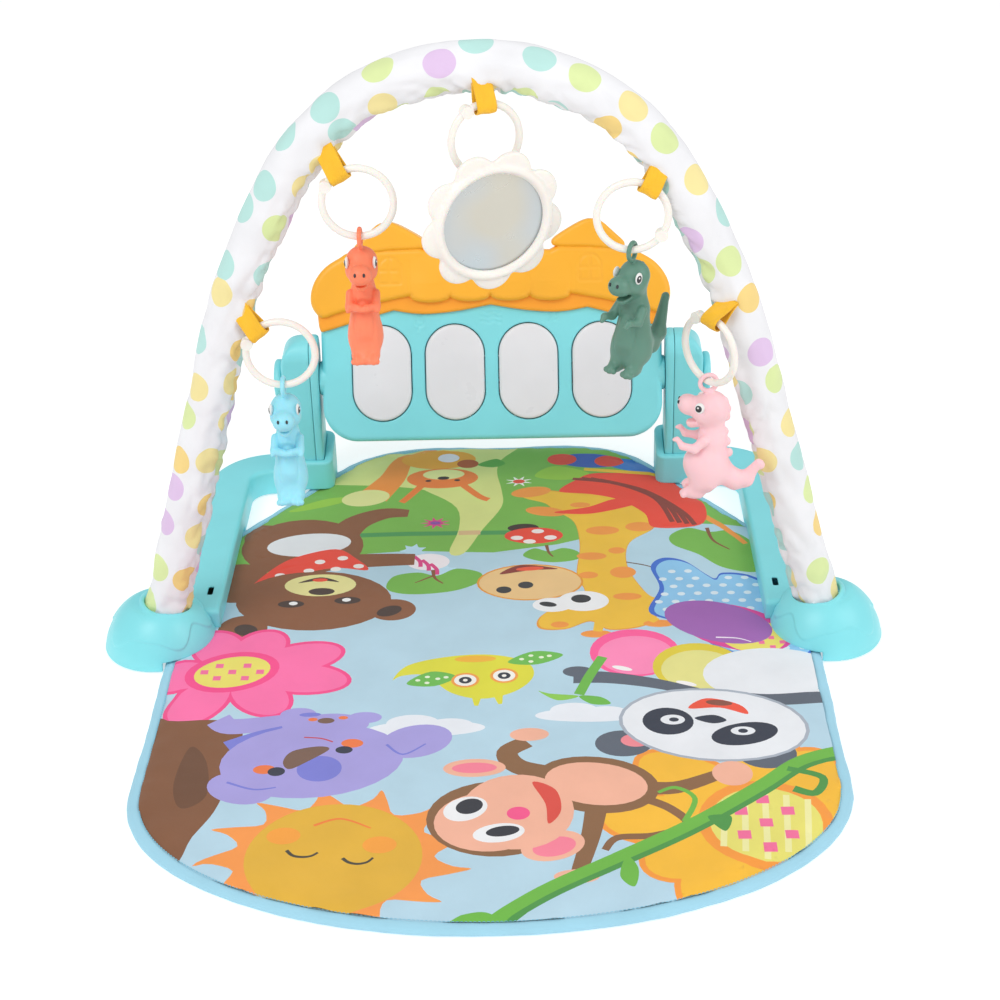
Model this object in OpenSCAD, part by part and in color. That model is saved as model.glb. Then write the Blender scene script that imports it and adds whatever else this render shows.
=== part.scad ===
// Activity play gym: padded mat, side frames, toy arch with hanging rings and toys,
// and a kick piano that tilts between two posts. Millimetres. The origin is at the
// middle of the mat's footprint on the floor, +Y runs back to the piano, +Z is up.

/* [Mat] */
// Width of the mat
mat_w = 570; // [550:5:580]
// Length of the mat
mat_l = 748; // [740:4:760]
// Thickness of the padded mat
mat_t = 8; // [7:0.5:9]
// Width of the sewn binding
binding_w = 11; // [8:1:14]

/* [Arch] */
// Height of the arch's centreline at its crown
arch_top = 519; // [510:1:525]
// Radius of the crown's bend
crown_r = 176; // [170:1:180]
// Half angle of the crown's bend
crown_angle = 59; // [57:1:61]
// Radius of the flatter bends at the sides
side_r = 620; // [600:5:640]
// Lean of the straight legs from upright
leg_lean = 15.8; // [15:0.2:16.4]
// Diameter of the fabric sleeve
sleeve_d = 39; // [38:0.5:40]
// Diameter of the plastic tubes
tube_d = 20; // [18:1:21]

/* [Frame] */
// Width of a side frame's bar
bar_w = 40; // [38:1:42]
// Height of a side frame's bar
bar_h = 28; // [26:1:29]
// Radius of a foot dome
dome_r = 50; // [48:1:52]
// Height of a foot dome
dome_h = 42; // [40:1:44]

/* [Piano] */
// Half width of the piano's case
case_half = 166; // [163:1:166]
// Tilt of the piano from upright at rest
rest_tilt = 21; // [15:1:24]
// Height of the tilt axis
pivot_z = 120; // [118:1:124]
// Width of a key
key_w = 57; // [54:1:58]
// Length of a key
key_l = 93; // [88:1:94]
// Distance between the keys
key_pitch = 71.5; // [71:0.5:73]

/* [Toys] */
// Outer diameter of a hanging ring
ring_d = 62; // [61:0.5:63]
// Thickness of a hanging ring
ring_t = 6; // [5:0.5:6]
// Diameter of the mirror plate
mirror_d = 86; // [82:1:88]

/* [Hidden] */
$fn = 64;
eps = 0.01;

// colours
turquoise = "#7FDDE0";
orange = "#FFB83A";
yellow = "#FFC425";
cream = "#F4F1EC";
key_white = "#E4E6EA";

// mat outline: straight sides, an elliptical front and a narrower round back
front_depth = 165;
back_corner_r = 100;
back_corner_x = 75;
side_end_y = 150;
fabric_t = 0.8;
mat_gap = 1;

// arch: crown arc, two flatter arcs, two straight legs, in the plane y = arch_y
arch_y = 21;
side_angle = 90 - leg_lean;
crown_z = arch_top - crown_r;
side_cx = (crown_r - side_r) * sin(crown_angle);
side_cz = crown_z + (crown_r - side_r) * cos(crown_angle);
bend_x = side_cx + side_r * sin(side_angle);
bend_z = side_cz + side_r * cos(side_angle);
padding_d = sleeve_d - 2.4;
tube_wall = 2;
plug_l = 60;
joint_gap = 0.5;
band_l = 6;
band_rise = 0.15;
function leg_x(z) = bend_x + (bend_z - z) * tan(leg_lean);

// side frames and feet
wall = 2.5;
lift = 1.5;
bar_x = 262;
dome_x = 294;
post_x = 187.5;
post_y = 308;
bar_turn_r = 60;
fit_gap = 0.4;
foot_plate_z = 11;
foot_plate_t = 3;
socket_tube_r = 14;
collar_r = 22.5;
sleeve_end_z = 34;
tube_end_z = 16;
cup_w = 48;
cup_d = 52;
cup_x = 185;
cup_front_z = 39;
cup_rise = 11;
pad_t = 3;
screw_r = 2;
foot_centre_x = dome_x - 4;
foot_screw_ring = 30;
foot_screw_angles = [60, 180, 300];
latch_w = 5;
latch_l = 14;
latch_x = bar_x - 8;
latch_y = arch_y + 42;
dome_lip_r = 2.6;
pad_r = 8;
foot_pad_r = 9;

// posts
post_w = 36;
post_d = 40;
post_top = 166;
post_base = 6;
post_split = 28;
post_outer_r = 26;
post_inner_r = 5;
post_screws_z = [30, 80];
shaft_r = 6;
running_gap = 0.05;
hub_r = 17;
cap_r = 20;
cap_h = 8;
cap_edge_r = 6;
boss_r = 5;
post_screw_l = 18;
beyond = 500;

// piano, in its own frame: origin on the tilt axis, x along it, z up the face
case_low = -62;
case_high = 84;
face_y = -17;
back_y = 19;
case_corner_r = 34;
key_z = 4.8;
key_gap = 0.6;
key_face_y = -19;
key_count = 4;
key_mid = (key_count - 1) / 2;
key_flange = 3;
roof_half = 174;
roof_low = 66;
roof_shoulder_x = 116;
roof_shoulder_z = 70;
roof_shoulder_h = 54;
roof_wave = 94;
lobe_pitch = 38.5;
lobe_r = 22;
lobe_z = 98;
side_roof_x = 114;
side_roof_r = 27.6;
tower_x = 98;
tower_edge_r = 7;
board_y = -3;
board_t = 1.6;
board_half_w = 140;
board_low_z = 40;
board_h = 22;
battery_r = 5.2;
battery_l = 44;
battery_pitch = 12.5;
battery_y = 10.3;
terminal_l = 1.5;
door_w = 74;
door_h = 60;
door_z = -12;
door_t = 2;
case_top_r = 12;
case_screws_x = [-150, -60, 60, 150];
case_screws_z = -40;
case_screw_l = 14;
screw_head_r = 3.2;
shaft_boss_r = 10;
key_pad_r = 5;
key_pad_z = 22;
speaker_x = 96;
speaker_r = 18;
grille_ring_r = 12;
grille_hole_r = 2;
switch_x = -98;
switch_z = 20;

// hanging rings: centre x, y from the arch's plane, centre z, loop's turn in the
// ring's plane, ring's yaw, strap's lean back to the sleeve, strap's length
hangers = [
  [-164, -20, 290, -40, 0, 18, 19],
  [-94, -20, 418, -30, 0, 18, 22],
  [7, -20, 467, 0, 22, 18, 18],
  [120, -20, 402, 30, 0, 18, 15],
  [183, -22, 287, 8, -50, 52, 19]
];
ring_r = ring_d / 2 - ring_t / 2;
strap_w = 16;
strap_t = 1.2;
strap_bend_r = 4.8;
strap_slack = 2;
// turn of each ring's clasp from its top
clasp_turns = [-70, -60, -32, 125, -30];
clasp_r = 5;
clasp_rise = 0.7;

// yaw of the toy on each ring
toy_yaw = [0, 0, 22, -40, -100];
hook_r = 7;
hook_t = 1.9;
// room between a hook and the ring under it
hook_play = 0.6;
// share of the turn between toy and ring that the hook takes up
hook_follow = 0.35;
petals = 9;
petal_r = 17;
petal_ring_r = 42;
mirror_tilt = 6;
mirror_drop = 34;
mirror_forward = 13;
lug_hole_r = 5.6;
lug_wall = 2.4;
lug_t = 4;

function arc(cx, cy, rx, ry, from, to, steps) =
  [for (i = [0:steps]) let (a = from + (to - from) * i / steps) [cx + rx * cos(a), cy + ry * sin(a)]];

module mirrored(side) {
  if (side < 0) mirror([1, 0, 0]) children();
  else children();
}

// ---------------------------------------------------------------- mat

module mat_outline(grow) {
  offset(delta = grow)
    hull() {
      polygon(arc(0, -mat_l / 2 + front_depth, mat_w / 2, front_depth, 180, 360, 40));
      translate([-mat_w / 2, 0]) square([mat_w, side_end_y]);
      for (side = [-1, 1])
        translate([side * back_corner_x, mat_l / 2 - back_corner_r]) circle(back_corner_r);
    }
}

module mat_layer(z, t) {
  translate([0, 0, z]) linear_extrude(t) mat_outline(-binding_w);
}

module mat_top_fabric() {
  color("#C3DDEC") mat_layer(mat_t - fabric_t, fabric_t);
}

module mat_filling() {
  color("white") mat_layer(fabric_t, mat_t - 2 * fabric_t);
}

module mat_backing() {
  color("lightgray") mat_layer(0, fabric_t);
}

module mat_binding() {
  color("#9AD8EE")
    linear_extrude(mat_t)
      difference() {
        mat_outline(0);
        mat_outline(-binding_w);
      }
}

// room that the mat's edge takes under the frames and the domes
module mat_room() {
  translate([0, 0, -1]) linear_extrude(mat_t + mat_gap + 1) mat_outline(mat_gap);
}

// ---------------------------------------------------------------- arch

module arc_tube(cx, cz, bend_r, from, to, r_out, r_in) {
  translate([cx, arch_y, cz])
    rotate([90, 0, 0])
      rotate([0, 0, from])
        rotate_extrude(angle = to - from)
          translate([bend_r, 0])
            difference() {
              circle(r_out);
              circle(r_in);
            }
}

// straight leg on the +X side, from the bend down to a height
module leg_tube(r_out, r_in, low_z) {
  leg_l = (bend_z - low_z) / cos(leg_lean);
  translate([bend_x, arch_y, bend_z])
    rotate([0, 180 - leg_lean, 0])
      difference() {
        translate([0, 0, joint_gap]) cylinder(r = r_out, h = leg_l - joint_gap);
        cylinder(r = r_in, h = leg_l + 1);
      }
}

// slightly raised band that joins two stretches of tube
module joint_band(x, z, lean, r_out, r_in) {
  translate([x, arch_y, z])
    rotate([0, 180 - lean, 0])
      difference() {
        cylinder(r = r_out + band_rise, h = band_l, center = true);
        cylinder(r = r_in + band_rise, h = 2 * band_l, center = true);
      }
}

module crown_tube(r_out, r_in) {
  half = crown_angle - joint_gap / crown_r * 180 / PI;
  arc_tube(0, crown_z, crown_r, 90 - half, 90 + half, r_out, r_in);
}

module side_tube(side, r_out, r_in, low_z) {
  gap_angle = joint_gap / side_r * 180 / PI;
  mirrored(side) {
    arc_tube(side_cx, side_cz, side_r, 90 - side_angle + gap_angle, 90 - crown_angle - gap_angle,
             r_out, r_in);
    leg_tube(r_out, r_in, low_z);
    joint_band(bend_x, bend_z, leg_lean, r_out, r_in);
  }
}

module whole_arch(r_out, r_in, low_z) {
  crown_tube(r_out, r_in);
  for (side = [-1, 1]) {
    side_tube(side, r_out, r_in, low_z);
    mirrored(side)
      joint_band(crown_r * sin(crown_angle), crown_z + crown_r * cos(crown_angle), 90 - crown_angle,
                 r_out, r_in);
  }
}

module arch_tube_left() {
  color("white") side_tube(-1, tube_d / 2, tube_d / 2 - tube_wall, tube_end_z);
}

module arch_tube_right() {
  color("white") side_tube(1, tube_d / 2, tube_d / 2 - tube_wall, tube_end_z);
}

module arch_tube_top() {
  color("white") crown_tube(tube_d / 2, tube_d / 2 - tube_wall);
}

// plugs that join the three tubes at the ends of the crown
module arch_joining_plugs() {
  plug_angle = plug_l / 4 / crown_r * 180 / PI;
  color("gray")
    for (side = [-1, 1])
      mirrored(side)
        arc_tube(0, crown_z, crown_r, 90 - crown_angle + 0.2, 90 - crown_angle + plug_angle * 2,
                 tube_d / 2 - tube_wall - 0.1, tube_d / 2 - 2 * tube_wall);
}

module arch_padding() {
  color("ivory") whole_arch(padding_d / 2, tube_d / 2 + 0.2, foot_plate_z + 38);
}

module arch_sleeve() {
  color("white") whole_arch(sleeve_d / 2, padding_d / 2 + 0.2, sleeve_end_z);
}

// ---------------------------------------------------------------- frames and feet

// plan of a side frame's bar on the +X side: back from the foot, then in to the cup
module bar_plan(grow) {
  corner = bar_turn_r - bar_w / 2;
  offset(delta = grow) {
    translate([bar_x - bar_w / 2, arch_y + 8])
      square([bar_w, post_y - corner - arch_y - 8]);
    translate([bar_x - corner, post_y - corner])
      intersection() {
        difference() {
          circle(bar_turn_r);
          circle(max(corner - bar_w / 2, 1));
        }
        square(bar_turn_r + 1);
      }
    translate([cup_x, post_y - bar_w / 2]) square([bar_x - corner - cup_x, bar_w]);
  }
}

module cup_plan(grow) {
  translate([cup_x, post_y])
    offset(r = 9)
      square([cup_w + 2 * grow - 18, cup_d + 2 * grow - 18], center = true);
}

// steps of a rounded top edge, so that the bar's corners are soft
module soft_block(low, high, soft) {
  steps = 3;
  for (i = [0:steps - 1]) {
    a = 90 * (i + 1) / (steps + 1);
    translate([0, 0, low])
      linear_extrude(high - low - soft * (1 - sin(90 * (i + 1) / steps)))
        offset(delta = -soft * (1 - cos(a))) children();
  }
}

module bar_shell() {
  difference() {
    union() {
      soft_block(lift, bar_h, 5) bar_plan(0);
      translate([0, 0, lift]) linear_extrude(cup_front_z + cup_rise - lift) cup_plan(0);
    }
    translate([0, 0, -1]) linear_extrude(bar_h - wall + 1) bar_plan(-wall);
    translate([0, 0, -1]) linear_extrude(post_base + 1) cup_plan(-wall);
    // pocket for the post
    translate([post_x, post_y, post_base + wall + 50])
      cube([post_w + 2 * fit_gap, post_d + 2 * fit_gap, 100], center = true);
    // rim of the cup rises towards the back
    translate([cup_x, post_y - cup_d / 2, cup_front_z])
      rotate([atan(cup_rise / cup_d), 0, 0])
        translate([-cup_w, -20, 0]) cube([2 * cup_w, 2 * cup_d, 60]);
    // latch slot beside the foot
    translate([latch_x, latch_y, bar_h - 6]) cube([latch_w, latch_l, 20], center = true);
  }
}

module at_foot_screws() {
  for (a = foot_screw_angles)
    translate([foot_centre_x + foot_screw_ring * cos(a), arch_y + foot_screw_ring * sin(a), 0])
      children();
}

// floor plate and tube socket inside a foot
module foot_socket() {
  difference() {
    union() {
      translate([foot_centre_x, arch_y, foot_plate_z]) cylinder(r = dome_r - 8, h = foot_plate_t);
      translate([leg_x(0), arch_y, 0])
        rotate([0, -leg_lean, 0])
          translate([0, 0, foot_plate_z + 1]) cylinder(r = socket_tube_r, h = 38);
    }
    translate([leg_x(0), arch_y, 0])
      rotate([0, -leg_lean, 0])
        translate([0, 0, tube_end_z - 1]) cylinder(r = tube_d / 2 + 0.15, h = 80);
    translate([0, 0, foot_plate_z - 20]) cube([2000, 2000, 40 - eps], center = true);
    at_foot_screws() cylinder(r = screw_r + 0.2, h = 30);
  }
}

module side_frame(side) {
  color(turquoise)
    mirrored(side)
      difference() {
        union() {
          bar_shell();
          difference() {
            foot_socket();
            translate([0, 0, -1]) linear_extrude(bar_h - wall + 1) bar_plan(-wall);
          }
        }
        mat_room();
      }
}

module side_frame_left() { side_frame(-1); }
module side_frame_right() { side_frame(1); }

// dome's profile: vertical rim, then a bell up to the collar
function dome_profile(t) = concat(
  [[0, 0], [dome_r - t, 0], [dome_r - t, 3]],
  arc(collar_r - t, 3, dome_r - collar_r, dome_h - 3 - t, 0, 90, 12),
  [[0, dome_h - t]]
);

module foot_dome(side) {
  color(turquoise)
    mirrored(side)
      difference() {
        union() {
          translate([dome_x, arch_y, lift])
            difference() {
              rotate_extrude() polygon(dome_profile(0));
              translate([0, 0, -eps]) rotate_extrude() polygon(dome_profile(wall));
            }
          // rolled lip around the sleeve
          translate([leg_x(dome_h - 3), arch_y, dome_h - 3])
            rotate([0, -leg_lean, 0])
              rotate_extrude() translate([collar_r, 0]) circle(dome_lip_r);
        }
        translate([leg_x(0), arch_y, 0])
          rotate([0, -leg_lean, 0]) cylinder(r = sleeve_d / 2 + 1, h = 100);
        translate([0, 0, -1]) linear_extrude(bar_h + fit_gap + 1) bar_plan(fit_gap);
        mat_room();
      }
}

module foot_dome_left() { foot_dome(-1); }
module foot_dome_right() { foot_dome(1); }

// screws from below into the foot plates
module frame_screws() {
  color("silver")
    for (side = [-1, 1])
      mirrored(side)
        at_foot_screws()
          translate([0, 0, foot_plate_z - 1.9]) {
            cylinder(r = 2 * screw_r, h = 1.8);
            cylinder(r = screw_r, h = 8);
          }
}

// rubber pads at the back corners and under the outer sides of the feet
module anti_slip_pads() {
  color("dimgray")
    for (side = [-1, 1])
      mirrored(side) {
        translate([cup_x + 10, post_y, 0]) cylinder(r = pad_r, h = post_base - 0.1);
        translate([bar_x - 6, post_y - 22, 0]) cylinder(r = pad_r, h = pad_t);
        translate([dome_x + 24, arch_y, 0]) cylinder(r = foot_pad_r, h = foot_plate_z - 2.2);
      }
}

// ---------------------------------------------------------------- hanging loops and rings

module in_ring_frame(i) {
  h = hangers[i];
  translate([h[0], arch_y + h[1], h[2]]) rotate([0, 0, h[4]]) children();
}

module hang_loop(i) {
  h = hangers[i];
  color(yellow)
    in_ring_frame(i)
      rotate([0, h[3], 0])
        translate([0, 0, ring_r])
          rotate([-h[5], 0, 0])
            rotate([90, 0, 90])
              translate([0, 0, -strap_w / 2])
                linear_extrude(strap_w)
                  difference() {
                    union() {
                      translate([0, -strap_slack]) circle(strap_bend_r + strap_t);
                      translate([-strap_bend_r - strap_t, -strap_slack])
                        square([2 * (strap_bend_r + strap_t), h[6] + strap_slack]);
                    }
                    translate([0, -strap_slack]) circle(strap_bend_r);
                    translate([-strap_bend_r, -strap_slack])
                      square([2 * strap_bend_r, h[6] + strap_slack + 1]);
                  }
}

module hang_loop_1() { hang_loop(0); }
module hang_loop_2() { hang_loop(1); }
module hang_loop_3() { hang_loop(2); }
module hang_loop_4() { hang_loop(3); }
module hang_loop_5() { hang_loop(4); }

module hang_ring(i) {
  h = hangers[i];
  color(cream)
    in_ring_frame(i) {
      rotate([90, 0, 0])
        rotate_extrude() translate([ring_r, 0]) circle(ring_t / 2, $fn = 32);
      // clasp where the ring opens
      rotate([0, clasp_turns[i], 0])
        translate([0, 0, ring_r])
          rotate([90, 0, 0]) cylinder(r = clasp_r, h = ring_t + 2 * clasp_rise, center = true, $fn = 32);
    }
}

module hang_ring_1() { hang_ring(0); }
module hang_ring_2() { hang_ring(1); }
module hang_ring_3() { hang_ring(2); }
module hang_ring_4() { hang_ring(3); }
module hang_ring_5() { hang_ring(4); }

// frame of a toy: origin where it hangs on the ring's lowest point
module on_ring(i) {
  h = hangers[i];
  translate([h[0], arch_y + h[1], h[2] - ring_r]) rotate([0, 0, toy_yaw[i]]) children();
}

// ball at a place of a toy
module ball(x, y, z, r) {
  translate([x, y, z]) sphere(r, $fn = 16);
}

// soft dinosaur that faces -Y, hung by the loop on its head
module dinosaur(i, shade) {
  color(shade)
    on_ring(i) {
      translate([0, 0, ring_t / 2 + hook_play + hook_t - hook_r])
        rotate([0, 90, hook_follow * (hangers[i][4] - toy_yaw[i])])
          rotate_extrude($fn = 24) translate([hook_r, 0]) circle(hook_t, $fn = 16);
      hull() {
        ball(0, 3, -22, 12);
        ball(0, 5, -31, 11);
      }
      hull() {
        ball(0, -3, -27, 10);
        ball(0, -19, -28, 8);
      }
      hull() {
        ball(0, 6, -34, 9);
        ball(0, 4, -56, 13);
      }
      hull() {
        ball(0, 4, -56, 13);
        ball(0, 1, -78, 17);
      }
      hull() {
        ball(0, 12, -82, 11);
        ball(0, 33, -86, 7);
      }
      hull() {
        ball(0, 33, -86, 7);
        ball(0, 45, -62, 3.5);
      }
      for (side = [-1, 1]) {
        hull() {
          ball(side * 9, 0, -86, 9);
          ball(side * 9, -12, -98, 6.5);
        }
        hull() {
          ball(side * 11, -2, -52, 4);
          ball(side * 11, -20, -56, 3);
        }
      }
    }
}

module blue_dinosaur() { dinosaur(0, "#8FDDF3"); }
module coral_dinosaur() { dinosaur(1, "#FF7350"); }
module green_dinosaur() { dinosaur(3, "#628C7C"); }
module pink_dinosaur() { dinosaur(4, "#FBC0C8"); }

// frame of the mirror toy: origin at the flower's middle, facing -Y
module in_mirror_frame() {
  on_ring(2)
    rotate([mirror_tilt, 0, 0]) translate([0, -mirror_forward, -mirror_drop]) children();
}

module disc(r, back, front) {
  translate([0, back, 0]) rotate([90, 0, 0]) cylinder(r = r, h = back - front);
}

module flower_outline() {
  circle(petal_ring_r);
  for (i = [0:petals - 1])
    rotate(360 * (i + 0.5) / petals) translate([0, petal_ring_r]) circle(petal_r);
}

module mirror_frame() {
  color(cream)
    in_mirror_frame()
      difference() {
        union() {
          slab(2, -3) flower_outline();
          disc(mirror_d / 2 + 6, 2, -7);
        }
        disc(mirror_d / 2 - 2, 10, -20);
        disc(mirror_d / 2 + 0.2, 10, -2);
      }
}

module mirror_plate() {
  color("lightgray") in_mirror_frame() disc(mirror_d / 2, 0, -1.8);
}

module mirror_back() {
  color(cream)
    in_mirror_frame() {
      disc(mirror_d / 2, 1.8, 0.2);
      difference() {
        hull() {
          translate([-lug_t / 2, 1.8, mirror_drop - 16]) cube([lug_t, 8, 6]);
          translate([0, mirror_forward, mirror_drop])
            rotate([0, 90, 0]) cylinder(r = lug_hole_r + lug_wall, h = lug_t, center = true, $fn = 32);
        }
        translate([0, mirror_forward, mirror_drop])
          rotate([0, 90, 0]) cylinder(r = lug_hole_r, h = 20, center = true);
      }
    }
}

// ---------------------------------------------------------------- posts

// what a rounded top right corner cuts away from a square one
module corner_cut(r) {
  difference() {
    square(r + 1);
    circle(r);
  }
}

module post_outline_front() {
  translate([post_x - post_w / 2, post_base + wall])
    difference() {
      square([post_w, post_top - post_base - wall]);
      translate([post_w - post_outer_r, post_top - post_base - wall - post_outer_r])
        corner_cut(post_outer_r);
      translate([post_inner_r, post_top - post_base - wall - post_inner_r])
        mirror([1, 0]) corner_cut(post_inner_r);
    }
}

module post_outline_side() {
  translate([post_y - post_d / 2, post_base + wall])
    square([post_d, post_top - post_base - wall - post_d / 2]);
  translate([post_y, post_top - post_d / 2]) circle(post_d / 2);
}

module post_body(grow) {
  intersection() {
    translate([0, post_y + post_d, 0])
      rotate([90, 0, 0]) linear_extrude(2 * post_d) offset(delta = grow) post_outline_front();
    rotate([90, 0, 90]) linear_extrude(400) offset(delta = grow) post_outline_side();
  }
}

// along the tilt axis, from x1 to x2
module axle(r, x1, x2) {
  translate([x1, post_y, pivot_z]) rotate([0, 90, 0]) cylinder(r = r, h = x2 - x1);
}

// along x through both screws of a post, from x1 on
module post_screw_rods(r, x1, l) {
  for (z = post_screws_z) translate([x1, post_y, z]) rotate([0, 90, 0]) cylinder(r = r, h = l);
}

// everything beyond x1
module outside_of(x1) {
  translate([x1, 0, 0]) cube(beyond);
}

module post_outer(side) {
  split_x = post_x + post_w / 2 - post_split;
  color(turquoise)
    mirrored(side)
      difference() {
        intersection() {
          post_body(0);
          outside_of(split_x);
        }
        difference() {
          intersection() {
            post_body(-wall);
            outside_of(split_x - 1);
          }
          post_screw_rods(boss_r, split_x - 1, 40);
        }
        axle(9, 0, beyond);
        post_screw_rods(screw_r - 0.3, split_x - 1, post_screw_l);
      }
}

module post_outer_left() { post_outer(-1); }
module post_outer_right() { post_outer(1); }

module post_inner(side) {
  split_x = post_x + post_w / 2 - post_split;
  color(turquoise)
    mirrored(side)
      difference() {
        post_body(0);
        outside_of(split_x);
        axle(shaft_r + running_gap, 0, beyond);
        post_screw_rods(screw_r + 0.2, 0, beyond);
      }
}

module post_inner_left() { post_inner(-1); }
module post_inner_right() { post_inner(1); }

// round cap that closes the outside of the pivot
module pivot_cap(side) {
  outer_x = post_x + post_w / 2;
  color(turquoise)
    mirrored(side) {
      translate([outer_x + 0.1, post_y, pivot_z])
        rotate([0, 90, 0])
          rotate_extrude()
            polygon(concat([[0, 0], [cap_r, 0]],
                           arc(cap_r - cap_edge_r, cap_h - cap_edge_r, cap_edge_r, cap_edge_r, 0, 90, 6),
                           [[0, cap_h]]));
      axle(8.8, outer_x - 4, outer_x + 1);
    }
}

module pivot_cap_left() { pivot_cap(-1); }
module pivot_cap_right() { pivot_cap(1); }

module post_screws() {
  color("silver")
    for (side = [-1, 1])
      mirrored(side) post_screw_rods(screw_r - 0.4, post_x - post_w / 2 + 1, post_screw_l);
}

// ---------------------------------------------------------------- piano

module in_piano_frame() {
  translate([0, post_y, pivot_z]) rotate([-rest_tilt, 0, 0]) children();
}

// a slab with a given outline in the x-z plane, from a back to a front depth
module slab(back, front) {
  translate([0, back, 0]) rotate([90, 0, 0]) linear_extrude(back - front) children();
}

module case_outline(grow) {
  corner = case_corner_r;
  offset(delta = grow)
    hull() {
      for (side = [-1, 1]) {
        translate([side * (case_half - corner), case_low + corner]) circle(corner);
        translate([side * (case_half - case_top_r), case_high - case_top_r]) circle(case_top_r);
      }
    }
}

module key_outline(grow) {
  r = key_w / 2 + grow;
  for (side = [-1, 1])
    translate([0, key_z + side * (key_l - key_w) / 2]) circle(r);
  translate([-r, key_z - (key_l - key_w) / 2]) square([2 * r, key_l - key_w]);
}

module at_key(i) {
  translate([(i - key_mid) * key_pitch, 0]) children();
}

// round hubs that face the posts
module hubs() {
  for (side = [-1, 1])
    mirrored(side)
      translate([case_half - 1, 0, 0])
        rotate([0, 90, 0]) cylinder(r = hub_r, h = post_x - post_w / 2 - case_half + 0.5);
}

// along the tilt axis inside the case's sides, both sides
module side_bores(r) {
  for (side = [-1, 1])
    mirrored(side)
      translate([case_half - 23, 0, 0]) rotate([0, 90, 0]) cylinder(r = r, h = 60);
}

module piano_front_shell() {
  color(turquoise)
    in_piano_frame()
      difference() {
        union() {
          slab(-0.1, face_y + 5) case_outline(0);
          slab(0, face_y + 2.5) case_outline(-1);
          slab(0, face_y + 0.8) case_outline(-2.5);
          slab(0, face_y) case_outline(-5);
          difference() {
            hubs();
            translate([-200, -0.1, -100]) cube([400, 100, 200]);
          }
        }
        slab(1, face_y + 2.5) case_outline(-6);
        slab(1, face_y + 5) case_outline(-2.5);
        side_bores(shaft_r + fit_gap);
        for (i = [0:key_count - 1]) slab(1, face_y - 1) at_key(i) key_outline(key_gap);
      }
}

module piano_back_shell() {
  color(turquoise)
    in_piano_frame()
      difference() {
        union() {
          slab(back_y - 4, 0.1) case_outline(1.5);
          slab(back_y - 1, 0.1) case_outline(0);
          slab(back_y, 0.1) case_outline(-4);
          hubs();
        }
        difference() {
          slab(back_y - wall, -1) case_outline(-1.5);
          // bosses for the shafts
          for (side = [-1, 1])
            mirrored(side)
              translate([case_half - 22, 0, 0]) rotate([0, 90, 0]) cylinder(r = shaft_boss_r, h = 30);
          // battery box
          translate([0, back_y - wall, door_z]) cube([door_w + 4, 32, door_h + 4], center = true);
        }
        // room for the front shell's side of the bosses and the battery box
        translate([-200, -20, -100]) cube([400, 20.1, 300]);
        side_bores(shaft_r);
        for (x = case_screws_x)
          translate([x, 0, case_screws_z]) rotate([-90, 0, 0]) cylinder(r = screw_r, h = 40);
        translate([0, back_y, door_z]) cube([door_w, 32, door_h], center = true);
        // speaker grille
        for (a = [0:45:315])
          translate([speaker_x + grille_ring_r * cos(a), 0, grille_ring_r * sin(a)])
            rotate([-90, 0, 0]) cylinder(r = grille_hole_r, h = 40);
        // slot for the power switch
        translate([switch_x + 2, back_y, switch_z]) cube([14, 20, 6], center = true);
      }
}

// outline of the roof: wavy lower edge, round shoulders, straight top between the towers
module roof_outline() {
  rx = roof_half - roof_shoulder_x;
  low_half = 154;
  polygon(concat(
    arc(roof_shoulder_x, roof_shoulder_z, rx, roof_shoulder_h, -14, 90, 12),
    arc(-roof_shoulder_x, roof_shoulder_z, rx, roof_shoulder_h, 90, 194, 12),
    [for (x = [-low_half:7:low_half])
      [x, roof_low - 8 * pow(abs(x) / low_half, 3) + 2.5 * cos(x * 360 / roof_wave)]]
  ));
}

module tower_outline(side) {
  translate([side * tower_x, 0])
    offset(r = tower_edge_r)
      polygon([[-27, 128], [-3, 143], [2, 143], [25, 124], [0, 126]]);
}

module above(z) {
  intersection() {
    children();
    translate([-300, z]) square([600, 300]);
  }
}

module piano_roof_front() {
  color(orange)
    in_piano_frame() {
      slab(face_y - 0.2, face_y - 6) roof_outline();
      // scalloped upper roof
      slab(face_y - 6, face_y - 10)
        above(0) {
          for (i = [-1.5:1:1.5])
            translate([i * lobe_pitch, lobe_z]) {
              circle(lobe_r);
              translate([-lobe_pitch / 2, 0]) square([lobe_pitch, lobe_r + 2]);
            }
          for (side = [-1, 1])
            translate([side * side_roof_x, lobe_z + 2])
              difference() {
                circle(side_roof_r);
                translate([-side_roof_r, side_roof_r - 4]) square(2 * side_roof_r);
              }
        }
      for (side = [-1, 1]) slab(0, face_y - 9) tower_outline(side);
      difference() {
        slab(0, face_y - 0.2 - eps) above(case_high + 0.5) roof_outline();
        slab(1, face_y - 0.2 - 2 * eps) above(case_high + 0.5 + wall) offset(delta = -wall) roof_outline();
      }
    }
}

module piano_roof_back() {
  color(orange)
    in_piano_frame()
      difference() {
        slab(back_y - 4, 0.2) above(case_high + 2.5) roof_outline();
        slab(back_y - 4 - wall, -1) above(case_high + 2.5 + wall) offset(delta = -wall) roof_outline();
      }
}

module pivot_shafts() {
  color("silver")
    for (side = [-1, 1])
      mirrored(side)
        axle(shaft_r - 0.01, case_half - 20, post_x + post_w / 2 - 6);
}

module circuit_board() {
  color("green")
    in_piano_frame()
      slab(board_y + board_t, board_y)
        translate([-board_half_w, board_low_z]) square([2 * board_half_w, board_h]);
}

module speaker() {
  color("dimgray")
    in_piano_frame()
      translate([speaker_x, 4, 0])
        rotate([-90, 0, 0]) {
          cylinder(r = speaker_r, h = 4);
          translate([0, 0, 4]) cylinder(r1 = speaker_r, r2 = speaker_r + 2, h = 6);
        }
}

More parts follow.
